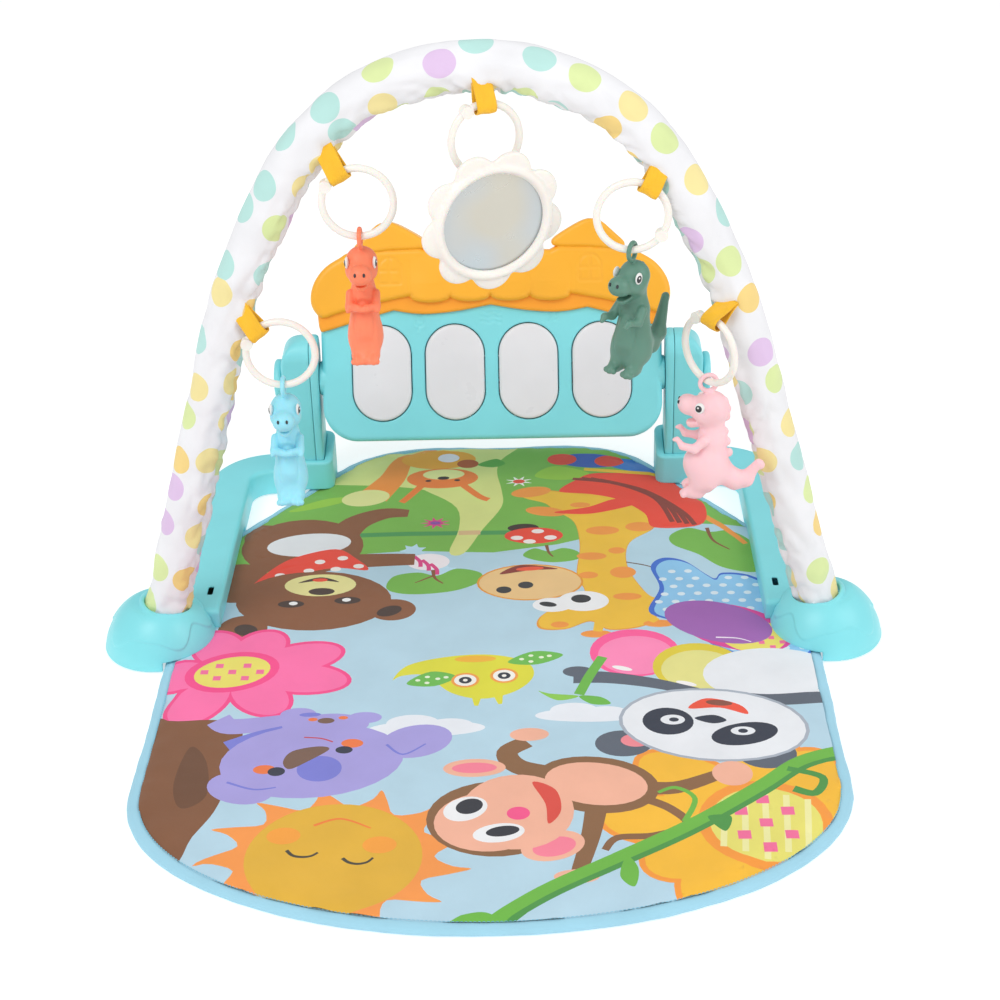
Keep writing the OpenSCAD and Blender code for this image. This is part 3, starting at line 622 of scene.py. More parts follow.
def bear():
    brown, dark, cream = "#8C5A3C", "#4B3A34", "#EAE29B"
    head_x, head_y = -163, 72
    dots = [(-198, 116), (-172, 124), (-147, 126), (-126, 131), (-163, 140), (-142, 146)]
    return [
        (brown, ellipse(-182, 168, 58, 52)),
        (brown, stroke([(-150, 178), (-134, 212), (-108, 230), (-84, 230)], 34, 14)),
        (brown, stroke([(-138, 140), (-105, 142), (-74, 142)], 26, 20)),
        (brown, stroke([(-212, 150), (-226, 190), (-218, 212)], 34, 22)),
        (brown, ellipse(-236, 104, 30, 34)),
        ("#E8EAEE", ellipse(-176, 172, 40, 21, 8)),
        ("#F04B3A", curve_through([(-222, 96), (-190, 114), (-150, 128), (-117, 124), (-130, 146),
                                   (-150, 163), (-185, 150), (-206, 128)])),
        *[("#F5EDEA", ellipse(x, y, 5, 4)) for x, y in dots],
        (brown, ellipse(head_x, head_y, 71, 50, -3)),
        (brown, ellipse(-90, 54, 21, 18)),
        (dark, ellipse(-93, 52, 12, 8, 30)),
        (brown, ellipse(-222, 26, 22, 22)),
        (dark, ellipse(-219, 24, 11, 9, -30)),
        (cream, ellipse(-159, 98, 33, 19)),
        (dark, ellipse(-157, 87, 12, 6)),
        (dark, curve_through([(-180, 102), (-160, 112), (-142, 103), (-160, 106)])),
        ("#F0533A", ellipse(-160, 107, 7, 3)),
        (dark, ellipse(-183, 66, 12, 6)),
        ("#F4F4F4", ellipse(-181, 67, 4, 3)),
        (dark, ellipse(-132, 71, 12, 6)),
        ("#F4F4F4", ellipse(-133, 72, 4, 3)),
    ]


def candy():
    stripes = [[(-75 + k, 148 - 0.9 * k), (-69 + k, 138 - 0.9 * k),
                (-68 + k, 128 - 0.9 * k)] for k in (0, 8, 16)]
    return [
        ("#BFE0F2", star(-76, 158, 8, 13, 7)),
        ("#BFE0F2", star(-46, 120, 8, 13, 7)),
        ("#F6EEF3", ellipse(-61, 137, 20, 15)),
        *[("#E04588", stroke(stripe, 4)) for stripe in stripes],
    ]


def trees():
    green, bark = "#78B74C", "#8A5638"
    return [
        (green, curve_through([(-98, 92), (-92, 112), (-70, 118), (-52, 112), (-34, 124), (-12, 116),
                               (-12, 100), (-32, 86), (-62, 80), (-86, 82)])),
        (bark, stroke([(-56, 122), (-54, 108), (-46, 98)], 4, 1.5)),
        (bark, stroke([(-55, 112), (-66, 104), (-72, 100)], 2.5, 1)),
        (green, curve_through([(28, 144), (38, 158), (52, 152), (66, 158), (80, 150), (78, 136),
                               (52, 132)])),
        (bark, stroke([(50, 164), (52, 150), (56, 142)], 3.5, 1.5)),
        (green, curve_through([(168, 178), (186, 192), (206, 184), (226, 186), (246, 160), (258, 120),
                               (240, 108), (212, 118), (192, 142), (170, 160)])),
        (bark, stroke([(204, 192), (208, 168), (222, 150)], 4, 1.5)),
        ("#3F2F2B", ellipse(28, 197, 15, 8)),
        ("#EE4A36", ellipse(38, 182, 28, 15)),
        *[("#F8ECEA", ellipse(x, y, 6, 4)) for x, y in ((22, 178), (42, 190), (54, 178), (34, 171))],
    ]


def petal_shapes(x, y, tips, layers, half_width, reach):
    """Petals from a flower's middle to their tips. Each layer is a colour and how much it grows by.
    reach is how far along the way to its tip a petal's middle lies."""
    shapes = []
    for code, extra in layers:
        for tip_x, tip_y in tips:
            length = math.hypot(tip_x - x, tip_y - y)
            turn = math.degrees(math.atan2(tip_y - y, tip_x - x))
            shapes.append((code, ellipse(x + (tip_x - x) * reach, y + (tip_y - y) * reach,
                                         length * (1 - reach) + extra, half_width + extra, turn)))
    return shapes


def flowers():
    petal, rim = "#FF74AE", "#FA4D90"
    x, y = -223, -42
    tips = [(-131, -10), (-122, -60), (-175, -104), (-262, -118), (-190, 20), (-250, 20), (-300, -50)]
    shapes = petal_shapes(x, y, tips, ((rim, 3), (petal, -1)), 22, 0.58)
    shapes += [(rim, ellipse(x, y, 41, 30, 17)), ("#EDE06A", ellipse(x, y, 33, 23, 17))]
    shapes += checks(x, y, 27, 17, 12)
    shapes += [
        ("#D9468A", star(-57, 210, 7, 15, 9, squash=0.75)),
        ("#8C4FA8", ellipse(-57, 210, 5, 3)),
        ("#F7F7F2", star(24, 290, 6, 14, 8, squash=0.75)),
        ("#E8503C", ellipse(24, 290, 6, 4)),
    ]
    return shapes


def checks(x, y, rx, ry, pitch):
    """Pink squares on every second place of a grid, inside an ellipse."""
    shapes = []
    for i in range(-4, 5):
        for j in range(-4, 5):
            cx, cy = i * pitch, j * pitch * 0.8
            if (i + j) % 2 == 0 and (cx / rx) ** 2 + (cy / ry) ** 2 < 1:
                half = pitch * 0.28
                shapes.append(("#F4709E", [(x + cx - half, y + cy - half), (x + cx + half, y + cy - half),
                                           (x + cx + half, y + cy + half), (x + cx - half, y + cy + half)]))
    return shapes


def trunk():
    return [
        ("#84573A", curve_through([(-300, -96), (-268, -112), (-232, -112), (-206, -120), (-203, -160),
                                   (-207, -200), (-213, -235), (-226, -265), (-240, -300),
                                   (-300, -290)], 4)),
        ("#6F4A33", curve_through([(-244, -150), (-228, -170), (-222, -215), (-240, -230), (-250, -200)])),
    ]


def clouds():
    shapes = []
    for x, y, size in ((-52, -129, 1.0), (80, -114, 0.9)):
        shapes += [("#E9EDF4", ellipse(x, y, 48 * size, 11 * size)),
                   ("#E9EDF4", ellipse(x - 12 * size, y + 8 * size, 22 * size, 12 * size)),
                   ("#E9EDF4", ellipse(x + 18 * size, y + 4 * size, 20 * size, 10 * size))]
    return shapes


def bird():
    yellow, green, ring = "#E0DC3C", "#6FBB52", "#F2A04A"
    wings = (((-72, -64), (-52, -46), (-30, -54), (-48, -68)), ((14, -34), (36, -18), (62, -24), (40, -38)))
    shapes = [
        (yellow, curve_through([(-84, -58), (-72, -36), (-40, -24), (0, -22), (30, -34), (36, -56),
                                (20, -78), (-8, -88), (-34, -78), (-56, -52), (-76, -52)])),
        (yellow, stroke([(-12, -84), (-12, -98)], 9, 3)),
        (yellow, stroke([(6, -82), (8, -96)], 9, 3)),
        ("#F1B63C", ellipse(-14, -28, 18, 5)),
    ]
    for wing in wings:
        shapes.append((green, curve_through(list(wing))))
        middle = (sum(p[0] for p in wing) / 4, sum(p[1] for p in wing) / 4)
        shapes += [("#E9F3D8", ellipse(middle[0] + dx, middle[1] + dy, 2.2, 1.8))
                   for dx, dy in ((-12, -1), (-4, 4), (-4, -5), (5, 1), (12, 3))]
    for x, y in ((-22, -60), (11, -54)):
        shapes += [(ring, ellipse(x, y, 12, 11)), ("#F5F3EC", ellipse(x, y, 9.5, 8.5)),
                   ("#343A44", ellipse(x, y, 5.5, 5)), ("#F5F3EC", ellipse(x, y, 2, 2))]
    return shapes


def giraffe():
    amber, orange, outline = "#F2C13B", "#F39A44", "#E89A35"
    neck = [(60, 228), (78, 205), (82, 160), (78, 110), (84, 78), (66, 62), (44, 38), (44, 20), (66, 18),
            (88, 30), (104, 16), (134, 22), (150, 42), (176, 52), (170, 68), (146, 68), (134, 88),
            (124, 125), (128, 165), (152, 192), (158, 222), (120, 256), (84, 262), (44, 270), (28, 258),
            (50, 244)]
    spots = [(104, 190, 16, 8), (140, 196, 14, 9), (92, 142, 14, 7), (120, 112, 12, 10), (88, 108, 9, 6),
             (122, 70, 13, 6), (60, 24, 8, 5), (150, 56, 8, 5), (84, 240, 10, 5), (116, 152, 8, 6)]
    vest = [(64, 268), (80, 290), (104, 305), (168, 294), (192, 262), (206, 232), (198, 198), (154, 194),
            (146, 222), (122, 250), (92, 262)]
    shapes = [
        (orange, stroke([(204, 214), (222, 190), (238, 160)], 8, 5)),
        (outline, curve_through([(x + (x - 105) * 0.03, y + (y - 140) * 0.015) for x, y in neck])),
        (amber, curve_through(neck)),
        (orange, ellipse(36, 268, 20, 10, 12)),
        (orange, ellipse(50, 228, 20, 9, -14)),
        *[(orange, ellipse(*spot)) for spot in spots],
        ("#F04A38", curve_through(vest)),
    ]
    for k in range(4):
        shapes.append(("#8C3F35", stroke([(78 + 9 * k, 294 + 2 * k - k * k), (122 + 9 * k, 282 - 5 * k),
                                          (158 + 8 * k, 252 - 9 * k), (172 + 7 * k, 204 - 2 * k)], 5)))
    shapes += [
        ("#F04A38", curve_through([(58, 226), (90, 222), (122, 232), (144, 246), (120, 252), (92, 236)])),
        ("#3E62B8", ellipse(96, 332, 34, 15, -8)),
        ("#EC4A3C", ellipse(68, 336, 15, 12)),
        ("#3E7FD0", ellipse(148, 320, 38, 15, -14)),
        ("#EC4A3C", ellipse(116, 330, 15, 12)),
        ("#F2C13B", stroke([(90, 314), (130, 306), (176, 298)], 6)),
        (outline, ellipse(34, 97, 49, 32)),
        ("#EDC68B", ellipse(34, 97, 47, 30)),
        ("#8B3B33", curve_through([(6, 112), (26, 128), (60, 120), (34, 118)])),
        ("#EF5A3F", ellipse(34, 121, 13, 3.5, 4)),
        ("#3B3B3E", ellipse(10, 84, 7, 6)),
        ("#3B3B3E", ellipse(30, 92, 7, 6)),
        ("#F0F1F3", ellipse(54, 57, 18, 12)),
        ("#F0F1F3", ellipse(82, 63, 23, 17)),
        ("#35363A", ellipse(50, 58, 8, 4, -15)),
        ("#35363A", ellipse(80, 67, 9, 7)),
        (orange, ellipse(92, 8, 14, 6)),
        (orange, ellipse(148, 24, 14, 6)),
        (amber, stroke([(96, 30), (93, 12)], 10, 8)),
        (amber, stroke([(136, 38), (146, 28)], 12, 8)),
        ("#6B4A3A", stroke([(124, 130), (150, 118), (164, 92)], 1.6)),
    ]
    return shapes


def butterfly():
    wing = [(146, 120), (158, 136), (178, 130), (196, 106), (204, 98), (212, 108), (240, 100), (270, 60),
            (290, 0), (272, -36), (252, -46), (226, -36), (196, -16), (164, 24), (140, 44), (152, 84)]
    dots = [(x + (6 if row % 2 else 0), 112 - 13 * row) for row in range(11) for x in range(150, 280, 15)]
    inner = curve_through([(212 + (x - 212) * 0.93, 45 + (y - 45) * 0.95) for x, y in wing])
    shown = inside(np.array(dots, float), inner)
    return [
        ("#3F6FCF", curve_through(wing)),
        ("#8FC8EF", inner),
        *[("#DDEBF4", ellipse(x, y, 3.6, 3, steps=12)) for (x, y), ok in zip(dots, shown) if ok],
    ]


def balloons():
    shapes = [
        ("#E0459A", ellipse(214, 16, 54, 34, -30)),
        ("#EDE06A", ellipse(228, 2, 30, 26, -30)),
        *checks(244, -2, 16, 18, 9),
        ("#A364B5", ellipse(200, 25, 50, 31, -28)),
        ("#F3E9F4", stroke([(196, 0), (214, -2), (226, -8)], 2, 1)),
    ]
    for x, y, rim, body in ((124, -22, "#FF5E9E", "#FF8BBB"), (177, -46, "#E2CE3A", "#E6E18C")):
        shapes += [(rim, ellipse(x, y, 39, 37)), (body, ellipse(x + 1, y - 4, 33, 30)),
                   ("#F6F3F2", ellipse(x - 12, y - 24, 9, 3, -20))]
    return shapes


def sun():
    x, y = -116, -292
    ink = "#4A463A"
    return [
        ("#F79A4C", star(x, y, 76, 106, 13, squash=0.8, sway=0.12)),
        ("#E3B239", ellipse(x, y, 67, 64, steps=48)),
        ("#F6A23E", ellipse(x - 40, y + 26, 13, 10)),
        ("#F6A23E", ellipse(x + 34, y + 14, 13, 10)),
        ("#F0803A", stroke([(x - 18, y + 38), (x + 2, y + 46), (x + 26, y + 34)], 2.6, 1.6)),
        (ink, stroke([(x - 36, y + 9), (x - 31, y + 3), (x - 24, y + 1), (x - 17, y + 2),
                      (x - 12, y + 6)], 3, 2)),
        (ink, stroke([(x + 7, y - 1), (x + 12, y - 6), (x + 19, y - 8), (x + 26, y - 6),
                      (x + 30, y - 1)], 3, 2)),
    ]


def koala():
    fur, shade = "#A9A0DF", "#7D80D6"
    shapes = [
        (fur, stroke([(-226, -112), (-214, -122), (-180, -118), (-150, -112)], 22, 20)),
        (shade, stroke([(-214, -150), (-190, -136), (-170, -128)], 15, 12)),
        (fur, ellipse(-131, -121, 31, 15)),
        (fur, ellipse(-160, -106, 15, 9)),
        (fur, ellipse(-104, -112, 14, 8)),
        (shade, ellipse(-150, -107, 9, 3)),
        (fur, ellipse(-143, -170, 74, 50, 6)),
        (fur, ellipse(-60, -146, 30, 22, 20)),
        (fur, ellipse(-196, -206, 28, 20, -20)),
        (shade, stroke([(-84, -150), (-70, -164), (-52, -150)], 2.5, 1.5)),
        (shade, stroke([(-208, -198), (-186, -208), (-168, -206)], 2.5, 1.5)),
        (shade, ellipse(-136, -182, 18, 17)),
        ("#7B5E50", curve_through([(-166, -172), (-160, -158), (-140, -152), (-130, -156), (-146, -172),
                                   (-160, -182)])),
        ("#EF7B45", ellipse(-180, -182, 9, 6)),
        ("#EF7B45", ellipse(-112, -148, 9, 6)),
        ("#373A4A", ellipse(-170, -185, 7, 6)),
        ("#373A4A", ellipse(-118, -157, 7, 5)),
        ("#C94A57", stroke([(-152, -139), (-138, -141), (-128, -146)], 1.6)),
        ("#EF7B45", ellipse(-147, -114, 4, 2.5)),
        ("#EF7B45", ellipse(-122, -112, 4, 2.5)),
        ("#7B5E50", ellipse(-136, -116, 7, 4)),
    ]
    return shapes


def blossom():
    petal, rim = "#F7BD36", "#F79B3B"
    x, y = 212, -258
    tips = [(122, -170), (266, -168), (86, -250), (118, -312), (150, -356), (300, -216), (230, -150),
            (290, -300)]
    shapes = petal_shapes(x, y, tips, ((rim, 3), (petal, -2)), 31, 0.55)
    shapes += [(rim, ellipse(x, y, 52, 52)), ("#E8E070", ellipse(x, y, 43, 43))]
    for k in range(-2, 3):
        stripe = [(x + k * 16 - 3, y - 40 + 6 * abs(k)), (x + k * 16 + 3, y + 40 - 6 * abs(k))]
        shapes.append(("#F0ECA6", stroke(stripe, 5)))
    shapes += checks(x, y, 36, 36, 18)
    return shapes


def panda():
    white, ink, grey = "#E9ECF1", "#313747", "#5D6572"
    shapes = [
        (white, ellipse(238, -58, 58, 40)),
        (grey, stroke([(70, -58), (100, -60), (140, -70), (180, -86)], 19, 12)),
        (grey, ellipse(74, -50, 13, 8)),
        (grey, stroke([(196, -88), (232, -96), (290, -92)], 14, 18)),
        ("#6EB84A", stroke([(96, -28), (84, -56), (74, -84)], 9)),
        ("#8DCB50", curve_through([(74, -86), (50, -82), (40, -78), (56, -92)])),
        ("#6EB84A", curve_through([(74, -86), (92, -88), (100, -98), (84, -98)])),
        (grey, ellipse(108, -154, 23, 18)),
        ("#F08A94", ellipse(118, -150, 12, 9)),
        (grey, ellipse(222, -170, 24, 20)),
        ("#F08A94", ellipse(214, -162, 13, 11)),
        ("#A9B2BF", ellipse(183, -129, 78, 51, -9)),
        (white, ellipse(183, -129, 75, 48, -9)),
        (ink, ellipse(146, -124, 21, 19, -10)),
        (ink, ellipse(207, -143, 28, 15, 14)),
        (white, ellipse(150, -122, 10, 7)),
        (ink, ellipse(151, -122, 4, 3)),
        (white, ellipse(206, -139, 10, 6)),
        (ink, ellipse(206, -139, 4, 3)),
        (ink, curve_through([(168, -120), (184, -116), (194, -124), (182, -128)])),
        ("#F0563E", curve_through([(164, -106), (180, -92), (206, -102), (212, -116), (190, -106)])),
        ("#8A5040", ellipse(190, -99, 11, 4, -10)),
    ]
    return shapes


def monkey():
    brown, skin, pink = "#8B6443", "#F3B59B", "#F6839A"
    shapes = [
        (brown, stroke([(30, -150), (14, -164), (24, -184), (56, -196)], 16, 20)),
        (brown, stroke([(112, -212), (146, -214), (184, -196)], 18, 12)),
        (brown, stroke([(84, -232), (78, -270), (68, -312)], 18, 12)),
        (brown, stroke([(118, -226), (140, -240), (152, -260), (126, -272), (98, -274), (88, -288)], 9, 6)),
        (brown, ellipse(84, -208, 50, 36, -14)),
        (skin, ellipse(84, -207, 41, 27, -14)),
        (skin, ellipse(32, -140, 16, 9)),
        (skin, ellipse(192, -196, 16, 16)),
        (skin, ellipse(66, -318, 17, 8)),
        (brown, ellipse(6, -248, 54, 46)),
        (skin, ellipse(49, -282, 25, 17, 20)),
        (pink, ellipse(50, -283, 17, 11, 20)),
        (skin, ellipse(-12, -184, 25, 12)),
        (pink, ellipse(-12, -184, 18, 7)),
        (skin, ellipse(22, -240, 44, 46)),
        (skin, ellipse(0, -252, 42, 36)),
        ("#EFF0F2", ellipse(-18, -236, 18, 14, 30)),
        ("#EFF0F2", ellipse(8, -266, 20, 11, 10)),
        ("#34363E", ellipse(-15, -233, 11, 9, 30)),
        ("#34363E", ellipse(11, -264, 13, 6, 10)),
        ("#F5588E", ellipse(23, -243, 9, 8)),
        ("#DE4F43", curve_through([(34, -204), (52, -214), (56, -240), (46, -256), (44, -232)])),
    ]
    return shapes


def vine():
    green, dark = "#6FB845", "#4E9748"
    path = [(-4, -372), (40, -334), (92, -300), (156, -258), (211, -213), (248, -180), (290, -164)]
    return [
        (dark, stroke([(x + 3, y - 4) for x, y in path], 12, 12)),
        (green, stroke(path, 11, 12)),
        (green, stroke([(150, -256), (160, -228), (146, -214), (132, -220)], 5, 3)),
        (dark, stroke([(236, -190), (262, -202), (254, -222), (238, -216)], 6, 8)),
        (green, curve_through([(104, -296), (112, -310), (108, -330), (98, -318)])),
        (dark, curve_through([(168, -250), (180, -268), (186, -250)])),
        (green, ellipse(-14, -366, 20, 8, 20)),
    ]


# ---------------------------------------------------------------- camera, light, floor

def camera():
    """Camera in front of the gym, which looks down on it at about 29 degrees."""
    yaw, pitch, roll = math.radians(1.18), math.radians(29.17), math.radians(-1.585)
    forward = Vector((-math.sin(yaw) * math.cos(pitch), math.cos(yaw) * math.cos(pitch), -math.sin(pitch)))
    level = Vector((math.cos(yaw), math.sin(yaw), 0))
    upright = level.cross(forward)
    right = level * math.cos(roll) + upright * math.sin(roll)
    up = -level * math.sin(roll) + upright * math.cos(roll)
    data = bpy.data.cameras.new("camera")
    data.lens = 72
    data.sensor_width = 36
    made = bpy.data.objects.new("camera", data)
    made.matrix_world = Matrix((right, up, -forward)).transposed().to_4x4()
    made.location = (0.0408, -1.4701, 0.9718)
    bpy.context.scene.collection.objects.link(made)
    bpy.context.scene.camera = made


def softbox(name, place, target, size, power):
    data = bpy.data.lights.new(name, "AREA")
    data.shape = "DISK"
    data.size = size
    data.energy = power
    made = bpy.data.objects.new(name, data)
    made.location = place
    made.rotation_euler = (Vector(target) - Vector(place)).to_track_quat("-Z", "Y").to_euler()
    bpy.context.scene.collection.objects.link(made)


def studio():
    """Pale floor, bright even surroundings and two large soft lights."""
    bpy.context.scene.view_settings.view_transform = "Standard"
    world = bpy.data.worlds.new("studio")
    world.use_nodes = True
    world.node_tree.nodes["Background"].inputs["Color"].default_value = (1, 1, 1, 1)
    world.node_tree.nodes["Background"].inputs["Strength"].default_value = 0.62
    bpy.context.scene.world = world
    softbox("key", (-1.1, -1.3, 2.2), (0, 0, 0.1), 1.4, 24)
    softbox("fill", (1.6, -0.6, 1.5), (0, 0, 0.2), 1.6, 12)
    half = 6
    floor = mesh_object("floor", [(-half, -half, 0), (half, -half, 0), (half, half, 0), (-half, half, 0)],
                        [(0, 1, 2, 3)], smooth=False)
    material, _, shader = new_material("floor", Roughness=0.9)
    shader.inputs["Base Color"].default_value = (0.7, 0.7, 0.7, 1)
    shader.inputs["Emission Color"].default_value = (1, 1, 1, 1)
    shader.inputs["Emission Strength"].default_value = 0.52
    floor.data.materials.append(material)


# ---------------------------------------------------------------- the mat's pieces

def mat_edge():
    """Binding tape folded round the mat's edge, slightly puckered by its stitches."""
    loop = mat_outline()
    out = outward(loop)
    section = [(10.2, 6.5), (9.4, 7.2), (6, 7.3), (2.6, 6.6), (0.8, 5.2), (0.1, 3.6), (0.6, 1.8),
               (2.6, 0.6), (6, 0.1), (11, 0.1)]
    verts = []
    for point, normal in zip(loop, out):
        pucker = noise.noise(Vector((point[0] * 90, point[1] * 90, 1.7)))
        sway = noise.noise(Vector((point[0] * 16, point[1] * 16, 4.4)))
        for inset, height in section:
            puffed = height * (1 + 0.12 * sway) + (0.5 * pucker if height > 3 else 0)
            x, y = point - normal * (inset - 0.5 * pucker - 1.1 * sway) * MM
            verts.append((x, y, puffed * MM))
    tape = mesh_object("mat_binding_tape", verts, grid_faces(len(loop), len(section), closed_rows=True))
    paint(tape, "binding")
    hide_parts("mat_binding")
    stitches = thread_row("mat_stitches", mat_outline(9.6 * MM), 8.0 * MM, pitch=3.2 * MM)
    return [tape, stitches]


def thread_row(name, loop, height, pitch):
    """Row of short stitches along a closed loop at a height."""
    spots = even_spacing(loop, pitch)
    ahead = np.roll(spots, -1, 0) - spots
    verts, faces = [], []
    for spot, step in zip(spots, ahead):
        across = np.array([-step[1], step[0]]) / np.linalg.norm(step) * 0.35 * MM
        start = len(verts)
        for share, lift in ((0, -0.3), (0.18, 0.25), (0.5, 0.4), (0.62, 0.25), (0.78, -0.3)):
            for side, drop in ((-1, 0.25), (0, 0), (1, 0.25)):
                x, y = spot + step * share + across * side
                verts.append((x, y, height + (lift - drop) * MM))
        faces += [tuple(start + k for k in face) for face in grid_faces(5, 3)]
    row = mesh_object(name, verts, faces)
    return paint(row, "thread")


def mat_body(layer, outline):
    """Filling under the print and the backing below it."""
    count = len(outline)
    inner = np.array(outline)
    top, bottom = coords_of(layer)[:, 2].min() - 0.3 * MM, 1.2 * MM
    rings = [np.column_stack([inner, np.full(count, z)]) for z in (top, bottom)]
    verts = np.vstack(rings + [[[0, 0, top], [0, 0, bottom]]])
    faces = []
    for i in range(count):
        j = (i + 1) % count
        faces += [(i, i + count, j + count, j), (i, j, 2 * count), (i + count, 2 * count + 1, j + count)]
    filling = mesh_object("mat_pad", verts, faces)
    paint(filling, "foam")
    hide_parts("mat_filling")
    ground = [(x, y, 0.6 * MM + 0.3 * MM * noise.noise(Vector((x * 30, y * 30, 5)))) for x, y in inner]
    backing = mesh_object("mat_back_cloth", ground + [(0, 0, 0.6 * MM)],
                          [(i, count, (i + 1) % count) for i in range(count)])
    paint(backing, "backing")
    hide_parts("mat_backing")
    return [filling, backing]


def make_mat():
    outline = mat_outline(BINDING_WIDTH - 1.5 * MM)
    layer = print_layer([tuple(p) for p in outline], mat_shapes(), mat_top(outline))
    paint(layer, "print")
    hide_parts("mat_top_fabric")
    pieces = [layer] + mat_body(layer, outline)
    pieces += mat_edge()
    for piece in pieces:
        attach(piece, "base")


# ---------------------------------------------------------------- arch

def arch_path(step, low_z):
    """Points, tangents and distances along the arch's centreline from the left foot to the right."""
    half = [(0.0, ARCH_TOP)]
    crown_z = ARCH_TOP - CROWN_RADIUS
    side_x = (CROWN_RADIUS - SIDE_RADIUS) * math.sin(CROWN_ANGLE)
    side_z = crown_z + (CROWN_RADIUS - SIDE_RADIUS) * math.cos(CROWN_ANGLE)
    side_angle = math.pi / 2 - LEG_LEAN
    for a in np.arange(0, CROWN_ANGLE, 0.01)[1:]:
        half.append((CROWN_RADIUS * math.sin(a), crown_z + CROWN_RADIUS * math.cos(a)))
    for a in np.arange(CROWN_ANGLE, side_angle, 0.004):
        half.append((side_x + SIDE_RADIUS * math.sin(a), side_z + SIDE_RADIUS * math.cos(a)))
    bend_x = side_x + SIDE_RADIUS * math.sin(side_angle)
    bend_z = side_z + SIDE_RADIUS * math.cos(side_angle)
    half.append((bend_x, bend_z))
    half.append((bend_x + (bend_z - low_z) * math.tan(LEG_LEAN), low_z))
    whole = np.array([(-x, z) for x, z in half[:0:-1]] + half)
    gone = np.concatenate([[0], np.cumsum(np.linalg.norm(np.diff(whole, axis=0), axis=1))])
    at = np.linspace(0, gone[-1], int(gone[-1] / step) + 1)
    points = np.column_stack([np.interp(at, gone, whole[:, 0]), np.full(len(at), ARCH_Y),
                              np.interp(at, gone, whole[:, 1])])
    tangents = np.gradient(points, axis=0)
    return points, tangents / np.linalg.norm(tangents, axis=1, keepdims=True), at


HANGERS = [
    # ring's centre: x, y from the arch, z; the ring's turn in its plane and its yaw;
    # the strap's lean and length; the toy's yaw (millimetres and degrees)
    (-164, -20, 290, -40, 0, 18, 19, 0),
    (-94, -20, 418, -30, 0, 18, 22, 0),
    (7, -20, 467, 0, 22, 18, 18, 22),
    (120, -20, 402, 30, 0, 18, 15, -40),
    (183, -22, 287, 8, -50, 52, 19, -100),
]
RING_RADIUS = 28 * MM
# angle round the sleeve where its seam runs: 0 outside, 90 in front, 180 inside
SEAM_ANGLE = math.radians(152)
# along the arch, how far the gathers of a loop and of a foot reach
LOOP_GATHERS, FOOT_GATHERS = 22 * MM, 30 * MM
# in millimetres from the sleeve's round: its deepest fold and highest puff
DEEPEST_FOLD, HIGHEST_PUFF = -3.6, 1.5
# angles round the sleeve over which the seam's gathers and its own groove fade
GATHER_SPREAD, GROOVE_SPREAD = 0.65, 0.08


def sleeve_surface(points, tangents, at, columns, radius, folds):
    """Tube round the arch. folds scales the gathers along the seam and the wrinkles."""
    loops = [min(range(len(points)), key=lambda i: math.dist(points[i], (x * MM, ARCH_Y, (z + 30) * MM)))
             for x, _, z, *_ in HANGERS]
    rings = []
    for i, (point, along, s) in enumerate(zip(points, tangents, at)):
        out = np.array([-along[2], 0, along[0]])
        near_loop = max(math.exp(-((s - at[j]) / LOOP_GATHERS) ** 2) for j in loops)
        near_foot = math.exp(-min(s, at[-1] - s) / FOOT_GATHERS)
        ring = []
        for c in range(columns):
            a = 2 * math.pi * c / columns
            spot = Vector((math.cos(a) * 1.3, math.sin(a) * 1.3, s * 15))
            slow = noise.noise(spot)
            fold = noise.noise(Vector((math.cos(a) * 1.6, math.sin(a) * 1.6 + s * 9, s * 34 + 9)))
            crease_spot = Vector((math.cos(a) + s * 14, math.sin(a) * 1.4, s * 22))
            crease = 1 - min(1, abs(noise.noise(crease_spot)) * 6)
            inner = 0.5 - 0.5 * math.cos(a)
            seam = math.remainder(a - SEAM_ANGLE, 2 * math.pi)
            gather = math.sin(s * 330 + 6 * slow + 3 * math.sin(s * 31)) * (0.5 + near_loop)
            swell = 0.8 * slow + fold * (0.9 + 2.4 * inner + 1.6 * near_foot + 1.2 * near_loop)
            swell -= crease * (0.5 + 1.5 * inner) * max(0, slow + 0.45)
            swell += 1.7 * gather * math.exp(-(seam / GATHER_SPREAD) ** 2)
            swell -= 1.6 * math.exp(-(seam / GROOVE_SPREAD) ** 2)
            swell = max(DEEPEST_FOLD, min(swell, HIGHEST_PUFF)) * folds
            reach = radius + swell * MM
            ring.append(point + reach * (math.cos(a) * out + math.sin(a) * np.array([0, -1, 0])))
        rings.append(ring)
    return np.array(rings)


def tube_piece(name, outer, inner):
    """Closed tube whose outer and inner walls are grids of rings, with UV metres along and round it."""
    rows, columns = outer.shape[:2]
    verts = np.vstack([outer.reshape(-1, 3), inner.reshape(-1, 3)])
    count = rows * columns
    wall = grid_faces(rows, columns, closed_columns=True)
    faces = [f[::-1] for f in wall] + [tuple(count + k for k in f) for f in wall]
    for first in (0, (rows - 1) * columns):
        for c in range(columns):
            c2 = (c + 1) % columns
            face = (first + c, first + c2, count + first + c2, count + first + c)
            faces.append(face if first == 0 else face[::-1])
    return mesh_object(name, verts, faces)


